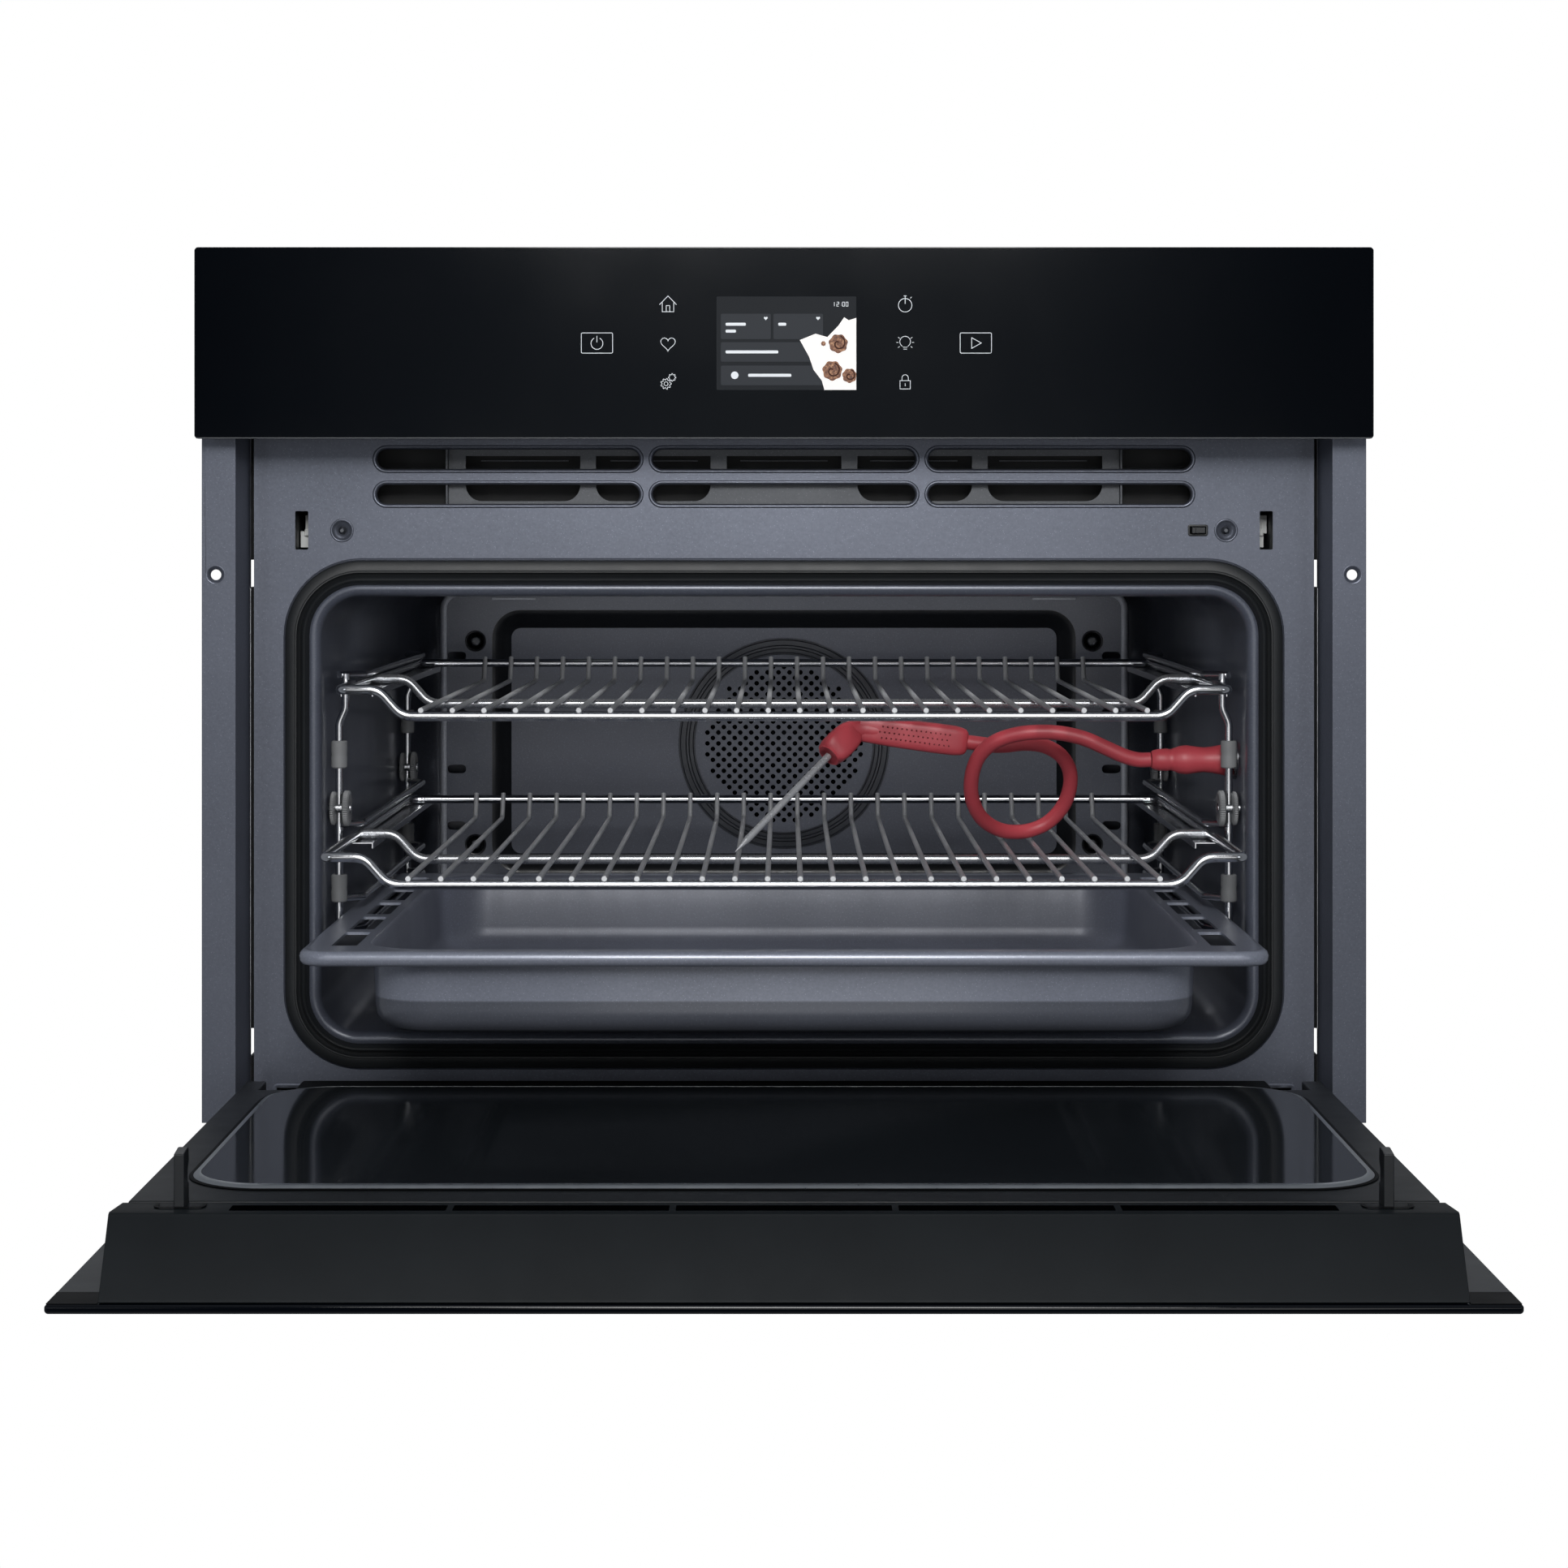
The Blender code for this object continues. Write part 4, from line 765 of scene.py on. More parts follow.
def make_display():
    """A lit picture behind the glass: tiles with plain bars for words, a clock and a picture of buns."""
    half_w, low, high = 0.0353, 0.3938, 0.4410
    left = GROUP_X - half_w
    patch("display_ground", rounded(half_w, (high - low) / 2, 0.0004, 2, (GROUP_X, (low + high) / 2)),
          SCREEN, 0.00006)
    tiles = ((0.0022, 0.0274, 0.4195, 0.4323), (0.0288, 0.0538, 0.4195, 0.4323),
             (0.0022, 0.0538, 0.4081, 0.4179), (0.0022, 0.0538, 0.3962, 0.4061))
    for number, (near, far, bottom, top) in enumerate(tiles, 1):
        middle = (left + (near + far) / 2, (bottom + top) / 2)
        patch("display_tile_%d" % number, rounded((far - near) / 2, (top - bottom) / 2, 0.0007, 4, middle),
              TILE, 0.00012)
    bars = ((0.0046, 0.0148, 0.4270), (0.0046, 0.0098, 0.4235), (0.0312, 0.0352, 0.4270),
            (0.0046, 0.0312, 0.4130), (0.0160, 0.0378, 0.4012))
    for number, (near, far, z) in enumerate(bars, 1):
        patch("display_bar_%d" % number, rounded((far - near) / 2, 0.00075, 0.0005, 3,
                                                 (left + (near + far) / 2, z)), INK, 0.00018)
    patch("display_symbol", ring_points(0.0019, 20, (left + 0.0092, 0.4012)), INK, 0.00018)
    for number, x in enumerate((0.0249, 0.0513), 1):
        patch("display_heart_%d" % number, moved(heart(0.0010, 20), left + x, 0.4300), INK, 0.00018)
    strokes, x = [], left + 0.0590
    for sign in "12:00":
        for stroke in DIGIT_STROKES[sign]:
            strokes.append((moved(stroke, x, 0.4361, 0.00052), False))
        x += 0.00115 if sign == ":" else 0.00175
    printed("display_clock", strokes, INK, 0.00026)
    make_picture(left)


def make_picture(left):
    """Paper with four glazed buns, running off the display's lower right corner."""
    edge = left + 0.0706
    paper = [(0.0421, 0.4190), (0.0500, 0.4222), (0.0560, 0.4205), (0.0615, 0.4262), (0.0645, 0.4305),
             (0.0668, 0.4290), (0.0706, 0.4302), (0.0706, 0.3938), (0.0545, 0.3938), (0.0532, 0.3985),
             (0.0490, 0.4040), (0.0468, 0.4105)]
    patch("picture_paper", [(left + u, v) for u, v in paper], PAPER, 0.00024)
    bun = Paint("glazed_bun", (0.30, 0.12, 0.045), 0.5, Emission_Strength=0.35)
    tint = bun.ramp(bun.noise(900.0, 3.0), (0.30, (0.05, 0.014, 0.007)), (0.55, (0.20, 0.075, 0.030)),
                    (0.80, (0.50, 0.28, 0.14)))
    bun.vary("Base Color", tint)
    bun.vary("Emission Color", tint)
    dark = glowing("bun_filling", (0.045, 0.014, 0.008), 0.3)
    buns = ((0.0615, 0.4172, 0.0047), (0.0585, 0.4035, 0.0049), (0.0672, 0.4010, 0.0036),
            (0.0540, 0.4172, 0.0012))
    for number, (u, v, radius) in enumerate(buns, 1):
        x = left + u
        outline = [(min(x + radius * (1 + 0.06 * math.sin(7 * a)) * math.cos(a), edge),
                    v + radius * (1 + 0.06 * math.sin(7 * a)) * math.sin(a))
                   for a in (2 * math.pi * i / 36 for i in range(36))]
        patch("picture_bun_%d" % number, outline, bun.material, 0.00030)
        if radius > 0.003:
            swirl = [(min(x + radius * t * math.cos(9 * t), edge - 0.0001), v + radius * t * math.sin(9 * t))
                     for t in (0.12 + 0.72 * i / 30 for i in range(31))]
            bm = bmesh.new()
            ribbon(bm, swirl, 0.0007, False, FACE_Y - 0.00038, FACE_Y - 0.00028)
            mesh_piece("picture_swirl_%d" % number, bm, dark, "chassis")


def make_panel():
    low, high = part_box("control_panel_glass")
    chamfer = 0.0012
    outline = []
    for u, v, su, sv in ((low.x, low.z, 1, 1), (high.x, low.z, -1, 1), (high.x, high.z, -1, -1),
                         (low.x, high.z, 1, -1)):
        pair = [(u + su * chamfer, v), (u, v + sv * chamfer)]
        outline += pair if su * sv < 0 else pair[::-1]
    slab_piece("front_glass", outline, "front", low.y, high.y, PANEL_GLASS, "chassis",
               ["control_panel_glass"], 0.0005, 3)
    slab_piece("front_glass_lower_edge",
               box_outline(low.x + 0.0010, high.x - 0.0010, low.z + 0.0001, low.z + 0.0006), "front",
               low.y - 0.0002, low.y + 0.0010, EDGE_GREY, "chassis")
    bm = bmesh.new()
    slab(bm, box_outline(-0.2925, 0.2925, low.z + 0.0045, high.z - 0.0025), "front", -0.0035, -0.0027)
    for u in (-0.22, -0.11, 0.0, 0.11, 0.22):
        slab(bm, rounded(0.0300, 0.0012, 0.0010, 4, (u, high.z - 0.0090)), "front", -0.0027, -0.0019)
    add_bevel(mesh_piece("panel_rear_cover", bm, GALVANISED, "chassis"), 0.0003)
    make_keys()
    make_display()


# ---------------------------------------------------------------- front frame, gasket and cavity

MOUTH_HALF = (0.241, 0.11385)
MOUTH_MID = (0.0, 0.17575)
MOUTH_CORNER = 0.021
GASKET_LOW, GASKET_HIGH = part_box("door_gasket")
GASKET_HALF = (GASKET_HIGH.x, (GASKET_HIGH.z - GASKET_LOW.z) / 2)
GASKET_CORNER = 0.0390
LATCH_X = 0.2505
HINGE_X = 0.255
DISH_X, DISH_Z = 0.2296, 0.3229
FLANGE_INNER_X = 0.2800
FLANGE_HOLE_X, FLANGE_HOLE_Z = 0.2904, 0.3002
VENT_ROWS = ((0.3600, 0.0117), (0.3417, 0.0114))
VENT_PITCH = 0.1433
VENT_LENGTH = 0.138
DUCT_WINDOWS = (-0.1361, -0.0682, 0.0, 0.0682, 0.1361)


def rim_piece(name, half, radius, profile, centre, material, steps=12, plane="front", replaces=(),
              body="chassis"):
    """A closed profile run round a rounded rectangle."""
    bm = bmesh.new()
    join_rings(bm, frame_rings(*half, radius, profile, plane, centre, steps), closed=True)
    return mesh_piece(name, bm, material, body, replaces, sharp=50)


def make_vents():
    """Rolled collars round the six air slots, and the duct's punched sheet behind them."""
    collar = [(0.0015, 0.0253), (0.0014, 0.02495), (0.0008, 0.02462), (0.0001, 0.02470), (-0.0005, 0.0252),
              (-0.0008, 0.0262), (-0.0008, 0.0285), (0.0000, 0.0285), (0.0002, 0.0262)]
    for row, (z, height) in enumerate(VENT_ROWS, 1):
        for side, column in (("left", -1), ("middle", 0), ("right", 1)):
            rim_piece("vent_collar_%s_%d" % (side, row), (VENT_LENGTH / 2, height / 2), height / 2,
                      collar, (column * VENT_PITCH, z), FRAME_PAINT, 8)
    outline = box_outline(-0.1750, 0.1750, 0.3335, 0.3700)
    windows = []
    half = 0.0299
    for x in DUCT_WINDOWS:
        bottom, corner = (0.3382, 0.0085) if x else (0.3500, 0.004)
        windows.append([(x - half, 0.3618)] + [(x + u, v) for u, v in
                       arc(-half + corner, bottom + corner, corner, 180, 270, 8)
                       + arc(half - corner, bottom + corner, corner, 270, 360, 8)] + [(x + half, 0.3618)])
    flat_plate("duct_grille", [outline] + windows, "front", 0.0318, 0.0328, DUCT_STEEL, "chassis")
    for number, x in enumerate(DUCT_WINDOWS, 1):
        slab_piece("duct_fold_%d" % number, box_outline(x - 0.0230, x + 0.0230, 0.3592, 0.3599), "front",
                   0.0430, 0.0450, DUCT_STEEL, "chassis", bevel=0.0002)
    slab_piece("duct_shadow_plate", box_outline(-0.2350, 0.2350, 0.3325, 0.3705), "front", 0.0480, 0.0490,
               SHADE_BLACK, "chassis")


def make_front_frame():
    """The punched front frame, the two flanges and dark strips of painted shade in the gaps between them."""
    loops = [box_outline(-0.2753, 0.2753, 0.0120, 0.4380),
             rounded(MOUTH_HALF[0] + 0.005, MOUTH_HALF[1] + 0.005, MOUTH_CORNER + 0.005, 12, MOUTH_MID),
             box_outline(0.2106, 0.2194, 0.3208, 0.3252)]
    for z, height in VENT_ROWS:
        loops += [slot_outline(column * VENT_PITCH, z, VENT_LENGTH, height) for column in (-1, 0, 1)]
    for _, sign in SIDES:
        loops.append(rounded(0.0034, 0.0100, 0.0006, 3, (sign * LATCH_X, 0.3230)))
        loops.append(ring_points(0.0050, 28, (sign * DISH_X, DISH_Z)))
        loops.append(box_outline(sign * HINGE_X - 0.0085, sign * HINGE_X + 0.0085, 0.0135, 0.0335))
    flat_plate("punched_frame", loops, "front", 0.0250, 0.0265, FRAME_PAINT, "chassis",
               ["front_frame"])
    for side, sign in SIDES:
        make_flange(side, sign)
        # dark strips in the gaps between frame and flange: painted shade
        bm = bmesh.new()
        near, far = mirrored(sign, 0.2745, 0.2778)
        for bottom, top in ((0.0125, 0.0498), (0.0639, 0.2936), (0.3077, 0.4375)):
            slab(bm, box_outline(near, far, bottom, top), "front", 0.0285, 0.0292)
        add_bevel(mesh_piece(side + "_gap_shade", bm, BLACK_SEAL_AND_SHADE, "chassis"), 0.0001)


def make_flange(side, sign):
    """The cabinet flange: a flat face with a countersunk hole, and its slanted return wall."""
    low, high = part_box(side + "_mounting_flange")
    face = low.y
    near, far = mirrored(sign, FLANGE_INNER_X, max(abs(low.x), abs(high.x)))
    hole = (sign * FLANGE_HOLE_X, FLANGE_HOLE_Z)
    loops = [box_outline(near, far, low.z, high.z), ring_points(0.0046, 32, hole)]
    add_bevel(flat_plate(side + "_flange_face", loops, "front", face, face + 0.0016, FRAME_PAINT, "chassis",
                         [side + "_mounting_flange"]), 0.0003)
    outline = [(sign * FLANGE_INNER_X, face + 0.0004), (sign * 0.2816, face + 0.0008),
               (sign * 0.2785, 0.0262), (sign * 0.2769, 0.0262)]
    slab_piece(side + "_flange_return", outline, "top", low.z, high.z, FRAME_PAINT, "chassis",
               bevel=0.0003)
    dish = raised(face, [(0.0049, -0.0001), (0.0045, -0.0002), (0.0038, 0.0005), (0.0029, 0.0012),
                         (0.0027, 0.0017), (0.0027, 0.0022), (0.0049, 0.0022)])
    round_piece(side + "_flange_dish", dish, "front", hole, 32, FRAME_PAINT, sharp=60)


def make_frame_fittings():
    """Dished fixings, the door switch's bezel and the mouth's raised edge."""
    dish = [(0.0061, 0.02498), (0.0058, 0.02475), (0.0053, 0.02472), (0.0049, 0.02510), (0.0045, 0.02560),
            (0.0036, 0.02600), (0.0026, 0.02640), (0.0022, 0.02700)]
    screw = [(0.0001, 0.02500), (0.0009, 0.02500), (0.0012, 0.02560), (0.0019, 0.02600), (0.0022, 0.02700)]
    for side, sign in SIDES:
        centre = (sign * DISH_X, DISH_Z)
        add_wall(round_piece(side + "_dish", dish, "front", centre, 40, FRAME_PAINT,
                             (False, True), 60), 0.0003)
        round_piece(side + "_dish_screw", screw, "front", centre, 28, SCREW_STEEL,
                    (True, True))
        make_lever(side, sign)
    bezel = [(0.0008, 0.02520), (0.0008, 0.02470), (0.0004, 0.02450), (-0.0002, 0.02460), (-0.0004, 0.0262)]
    rim_piece("switch_bezel", (0.0044, 0.0022), 0.0004, bezel, (0.2150, 0.3230), BLACK_PLASTIC,
              4)
    low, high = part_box("door_switch_plunger")
    bm = bmesh.new()
    slab(bm, box_outline(0.2115, 0.2185, 0.3214, 0.3246), "front", low.y + 0.0010, high.y)
    slab(bm, box_outline(0.2115, 0.2134, 0.3214, 0.3246), "front", low.y, low.y + 0.0014)
    add_bevel(mesh_piece("switch_rocker", bm, BLACK_PLASTIC, "switch_pin",
                         ["door_switch_plunger"]), 0.0003)
    edge = [(0.0002, 0.0252), (0.0002, 0.0243), (0.0006, 0.02405), (0.0011, 0.02425), (0.0014, 0.0248),
            (0.0015, 0.0252)]
    rim_piece("mouth_edge", GASKET_HALF, GASKET_CORNER, edge, MOUTH_MID, FRAME_PAINT)
    for side, sign in SIDES:
        rim_piece(side + "_hinge_surround", (0.0095, 0.0110), 0.0015,
                  [(0.0012, 0.0251), (0.0010, 0.0245), (0.0002, 0.0243), (-0.0006, 0.0247),
                   (-0.0008, 0.0258)],
                  (sign * HINGE_X, 0.0235), FRAME_PAINT, 4)


def make_lever(side, sign):
    """The interlock lever behind its slot: a pale blade with a raised catch."""
    low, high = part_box(side + "_interlock_lever")

    def part(near, far, bottom, top, front):
        slab(bm, box_outline(*mirrored(sign, near, far), bottom, top), "front", front, high.y)

    bm = bmesh.new()
    if sign < 0:
        part(0.2472, 0.2538, low.z, low.z + 0.0086, low.y - 0.0010)
        part(0.2472, 0.2518, low.z + 0.0080, high.z, low.y + 0.0020)
    else:
        part(0.2472, 0.2538, low.z + 0.0074, high.z, low.y + 0.0010)
        part(0.2472, 0.2518, low.z, low.z + 0.0080, low.y - 0.0010)
    part(0.2480, 0.2514, low.z + 0.0062, low.z + 0.0096, low.y - 0.0030)
    add_bevel(mesh_piece(side + "_lever_blade", bm, LEVER, side + "_lever",
                         [side + "_interlock_lever"]), 0.0003)


def make_gasket():
    profile = [(0.0, 0.0246), (0.0, 0.0214), (-0.0006, 0.0206), (-0.0050, 0.0203), (-0.0054, 0.0197),
               (-0.0060, 0.0197), (-0.0063, 0.0207), (-0.0076, 0.0216), (-0.0083, 0.0200),
               (-0.0091, 0.0187), (-0.0099, 0.01825), (-0.0107, 0.0187), (-0.0113, 0.0199),
               (-0.0119, 0.0214), (-0.0125, 0.0222), (-0.0125, 0.0246)]
    rim_piece("mouth_gasket", GASKET_HALF, GASKET_CORNER, profile, MOUTH_MID, GASKET, 16,
              replaces=["door_gasket"])


def make_cavity():
    """The enamelled muffle, with a rolled lip round its mouth and softly rounded back corners."""
    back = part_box("cavity_liner")[1].y - 0.0012
    inner = [(0.0050, 0.0246), (0.0049, 0.0234), (0.0042, 0.0226), (0.0032, 0.02225), (0.0021, 0.0225),
             (0.0011, 0.0232), (0.0004, 0.0243), (0.0000, 0.0262), (0.0000, 0.1200), (0.0000, 0.2600),
             (0.0000, 0.4080), (-0.0010, 0.4160), (-0.0038, 0.4235), (-0.0085, 0.4285), (-0.0160, back)]
    bm = bmesh.new()
    join_rings(bm, frame_rings(*MOUTH_HALF, MOUTH_CORNER, inner, "front", MOUTH_MID, 12), last_cap=True)
    made = mesh_piece("oven_cavity", bm, CAVITY_ENAMEL, "chassis", ["cavity_liner"], sharp=60)
    add_wall(made, 0.0010)


# ---------------------------------------------------------------- back guard

FAN_Z = 0.1877
GUARD_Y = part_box("fan_baffle")[0].y
HOLE_PITCH = 0.0070
HOLE_RADIUS = 0.00155
FIELD_RADIUS = 0.0495
GROOVE_INNER, GROOVE_OUTER = 0.0572, 0.0672
GUARD_SCREW_X = 0.1965
GUARD_SCREW_LOW, GUARD_SCREW_HIGH = 0.1239, 0.2535


def make_guard():
    """The guard plate: a flat border, a step painted black as shade, and a dished panel with two ring grooves
    painted darker as shade; its fold is painted light as a highlight, and a black plate behind the fan is
    painted shade.
    """
    low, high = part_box("fan_baffle")
    centre = (0.0, (low.z + high.z) / 2)
    half = (high.x, (high.z - low.z) / 2)
    step_half, step_corner, step_centre = (0.1860, 0.0838), 0.0180, (0.0, 0.1895)
    depth = GUARD_Y + 0.0085
    border = [rounded(*half, 0.010, 6, centre), rounded(*step_half, step_corner, 10, step_centre)]
    for _, sign in SIDES:
        for z in (GUARD_SCREW_LOW, GUARD_SCREW_HIGH):
            border.append(ring_points(0.0058, 24, (sign * GUARD_SCREW_X, z)))
        for row in range(5):
            border.append(slot_outline(sign * 0.2085, 0.100 + 0.036 * row, 0.012, 0.0055, 5))
    flat_plate("guard_border", border, "front", GUARD_Y, GUARD_Y + 0.0012, CAVITY_ENAMEL, "chassis",
               ["fan_baffle"])
    step = [(0.0004, GUARD_Y + 0.0002), (-0.0010, GUARD_Y + 0.0003), (-0.0034, GUARD_Y + 0.0014),
            (-0.0064, GUARD_Y + 0.0042), (-0.0094, depth - 0.0016), (-0.0116, depth - 0.0002),
            (-0.0120, depth + 0.0010), (0.0004, depth + 0.0010)]
    rim_piece("guard_step", step_half, step_corner, step, step_centre, STEP_SHADE, 12)
    panel = rounded(step_half[0] - 0.0114, step_half[1] - 0.0114, 0.0062, 8, step_centre)
    hub = (0.0, FAN_Z)
    flat_plate("guard_panel", [panel, ring_points(GROOVE_OUTER, 96, hub)], "front", depth, depth + 0.0010,
               GUARD_ENAMEL, "chassis")
    grooves = [(GROOVE_OUTER + 0.0003, depth)]
    for near, far in ((0.0666, 0.0624), (0.0612, 0.0578)):
        grooves += [(near, depth), (near - 0.0007, depth + 0.0016), (far + 0.0007, depth + 0.0016),
                    (far, depth)]
    grooves += [(GROOVE_INNER - 0.0003, depth), (GROOVE_INNER - 0.0003, depth + 0.0022),
                (GROOVE_OUTER + 0.0003, depth + 0.0022)]
    round_piece("guard_grooves", grooves, "front", hub, 96, GROOVE_SHADE)
    holes = []
    reach = int(FIELD_RADIUS / HOLE_PITCH) + 2
    for row in range(-2 * reach, 2 * reach + 1):
        for column in range(-reach, reach + 1):
            x = (column + 0.5 * (row % 2)) * HOLE_PITCH
            z = row * HOLE_PITCH / 2
            if math.hypot(x, z) < FIELD_RADIUS:
                holes.append(ring_points(HOLE_RADIUS, 12, (x, FAN_Z + z)))
    flat_plate("guard_field", [ring_points(GROOVE_INNER, 96, hub)] + holes, "front", depth, depth + 0.0010,
               GUARD_ENAMEL, "chassis")
    fold = raised(GUARD_Y, [(-0.0022, -0.0002), (-0.0016, -0.0008), (0.0004, -0.0008), (0.0016, -0.0002),
                            (0.0022, 0.0012), (0.0023, 0.0026), (0.0023, 0.0040), (0.0011, 0.0040),
                            (0.0011, 0.0026), (0.0000, 0.0012)])
    # a black plate on the back wall behind the fan, where there is only shade: painted shade
    shade_outline = rounded(0.190, 0.100, 0.030, 8, (0.0, 0.180))
    flat_plate("fan_chamber_painted_shade", [shade_outline], "front", 0.4302, 0.4310, SHADE_BLACK, "chassis")
    rim_piece("guard_fold", half, 0.010, fold, centre, EDGE_HIGHLIGHT, 6)
    for side, sign in SIDES:
        slab_piece(side + "_guard_tab", box_outline(*mirrored(sign, 0.158, 0.186), 0.2796, 0.2812), "front",
                   GUARD_Y - 0.0012, GUARD_Y, EDGE_HIGHLIGHT, "chassis", bevel=0.0003)
    places = [(sign * GUARD_SCREW_X, z) for z in (GUARD_SCREW_HIGH, GUARD_SCREW_LOW) for _, sign in SIDES]
    for number, centre in enumerate(places, 1):
        make_cup_screw(number, centre)


def make_cup_screw(number, centre):
    """A star-drive screw in a cup painted black as shade."""
    y = GUARD_Y
    cup = raised(y, [(0.0068, -0.0002), (0.0064, -0.0010), (0.0057, -0.0008), (0.0050, 0.0012),
                     (0.0044, 0.0030), (0.0044, 0.0036), (0.0068, 0.0036)])
    round_piece("screw_cup_%d" % number, cup, "front", centre, 36, STEP_SHADE)
    star = [(0.0013 + 0.0004 * math.cos(6 * a), a) for a in (2 * math.pi * i / 36 for i in range(36))]
    star_ring = [(centre[0] + r * math.cos(a), centre[1] + r * math.sin(a)) for r, a in star]
    rings = [[(u, y + 0.0012, v) for u, v in star_ring], [(u, y - 0.0010, v) for u, v in star_ring]]
    rings += turned_rings([(0.0022, y - 0.0011), (0.0033, y - 0.0006), (0.0040, y + 0.0006),
                           (0.0042, y + 0.0030)], "front", centre, 36)
    bm = bmesh.new()
    join_rings(bm, rings, first_cap=True, last_cap=True)
    mesh_piece("guard_screw_%d" % number, bm, SCREW_STEEL, "chassis",
               ["baffle_screw_%d" % number], sharp=40)


# ---------------------------------------------------------------- racks and tray

RACK_RISE = 0.0136
RACK_RODS = 24
ROD_PITCH = 0.0161
UPRIGHT_X, GUIDE_X, JOG_X = 0.2345, 0.2235, 0.2312
FRONT_UPRIGHT_Y, REAR_UPRIGHT_Y = 0.050, 0.352


def make_rack(name, node, body):
    """A chromed shelf: bordering rail, cranked middle rail, and rods bent up to the rear bar."""
    low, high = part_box(node)
    rail, rod = 0.0025, 0.0014
    half = high.x - rail
    front = low.y + rail
    back = high.y - rail
    z = low.z + rail - 0.0002
    top = z + RACK_RISE
    step_out, step_in = 0.2070, 0.1950
    border = [(-half, front, top), (-step_out, front, top), (-step_in, front, z), (step_in, front, z),
              (step_out, front, top), (half, front, top), (half, back, top), (-half, back, top)]
    radii = (0.0042, 0.012, 0.012, 0.012, 0.012, 0.0042, 0.008, 0.008)
    wires(name + "_border", [bent(border, radii, 8, True)], rail, CHROME, body, [node], 6,
          closed=True)
    middle = front + 0.125
    rung = [(-half, middle, top), (-step_out, middle, top), (-step_in, middle, z), (step_in, middle, z),
            (step_out, middle, top), (half, middle, top)]
    wires(name + "_middle_bar", [bent(rung, 0.012, 8)], rail, SHADED_MIDDLE_CHROME, body, sides=6)
    rods, ends = [], bmesh.new()
    lift = z + rail + rod * 0.4
    for number in range(RACK_RODS):
        x = (number - (RACK_RODS - 1) / 2) * ROD_PITCH
        rods.append(bent([(x, front - 0.0020, lift), (x, back - 0.011, lift),
                          (x, back - rail - rod * 0.6, top + 0.0036)], 0.005, 6))
        join_rings(ends, turned_rings([(rod * 0.97, front - 0.0019), (rod * 0.97, front - 0.0022),
                                       (rod * 0.80, front - 0.0024)], "front", (x, lift), 16),
                   first_cap=True, last_cap=True)
    wires(name + "_rods", rods, rod, ROD_CHROME, body, sides=4)
    mesh_piece(name + "_rod_ends", ends, ROD_END, body)


def make_side_rack(side, sign):
    """Guide wires on two uprights, welded runners, insulating sleeves and knurled fixing nuts."""
    out, guide, jog = sign * UPRIGHT_X, sign * GUIDE_X, sign * JOG_X
    front, back = FRONT_UPRIGHT_Y, REAR_UPRIGHT_Y
    runs = [bent([(jog, y, 0.2475), (jog, y, 0.2290), (out, y, 0.2215), (out, y, 0.1110)], 0.010, 5)
            for y in (front, back)]
    wires(side + "_rack_uprights", runs, 0.0021, CHROME, "chassis", [side + "_side_rack"], 5)
    along = []
    for z in (0.1125, 0.1290, 0.1680, 0.2467):
        along.append(bent([(out, front - 0.001, z), (guide, front + 0.012, z), (guide, back - 0.012, z),
                           (out, back + 0.001, z)], 0.010, 6))
    wires(side + "_rack_guides", along, 0.0020, CHROME, "chassis", sides=5)
    for level, top in (("upper", 0.2387), ("lower", 0.1587)):
        left, right = mirrored(sign, 0.2165, 0.2340)
        lip = 0.0011
        section = [(left, top - 0.0036), (left + lip, top - 0.0036), (left + lip, top - lip),
                   (right - lip, top - lip), (right - lip, top - 0.0036), (right, top - 0.0036),
                   (right, top), (left, top)]
        slab_piece("%s_%s_runner" % (side, level), section, "front", 0.0495, 0.3780, CHROME, "chassis",
                   bevel=0.0004)
    for place, y in (("front", front), ("rear", back)):
        for level, z in (("upper", 0.2050), ("lower", 0.1345)):
            make_sleeve("%s_%s_%s_sleeve" % (side, place, level), (out, y), z)
        make_nut("%s_%s_nut" % (side, place), sign, y)


def make_sleeve(name, centre, z):
    """A grey insulating sleeve on an upright."""
    half = 0.0072
    profile = [(0.0024, z - half), (0.0037, z - half), (0.0042, z - half + 0.0006),
               (0.0043, z - 0.0015), (0.0040, z), (0.0043, z + 0.0015), (0.0042, z + half - 0.0006),
               (0.0037, z + half), (0.0024, z + half)]
    round_piece(name, profile, "top", centre, 28, SLEEVE)


def make_nut(name, sign, y):
    """Two discs with knurled edges on a spindle through the wall, holding the side rack."""
    z = 0.1765
    for part, near, far, radius in (("inner", 0.2288, 0.2322, 0.0094), ("outer", 0.2362, 0.2388, 0.0088)):
        near, far = mirrored(sign, near, far)
        teeth = 48
        rings = []
        for x, shrink in ((near, 0.0012), (near + 0.0006, 0.0), (far - 0.0006, 0.0), (far, 0.0012)):
            ring = []
            for i in range(teeth * 2):
                reach = radius - shrink - (0.0005 if i % 2 else 0.0)
                angle = math.pi * i / teeth
                ring.append((x, y + reach * math.cos(angle), z + reach * math.sin(angle)))
            rings.append(ring)
        bm = bmesh.new()
        join_rings(bm, rings, first_cap=True, last_cap=True)
        mesh_piece("%s_%s" % (name, part), bm, SLEEVE, "chassis", sharp=25)
    low, high = mirrored(sign, 0.2280, 0.2400)
    profile = [(0.0020, low), (0.0030, low + 0.0006), (0.0030, high)]
    round_piece(name + "_spindle", profile, "side", (y, z), 24, STAINLESS, (True, True))


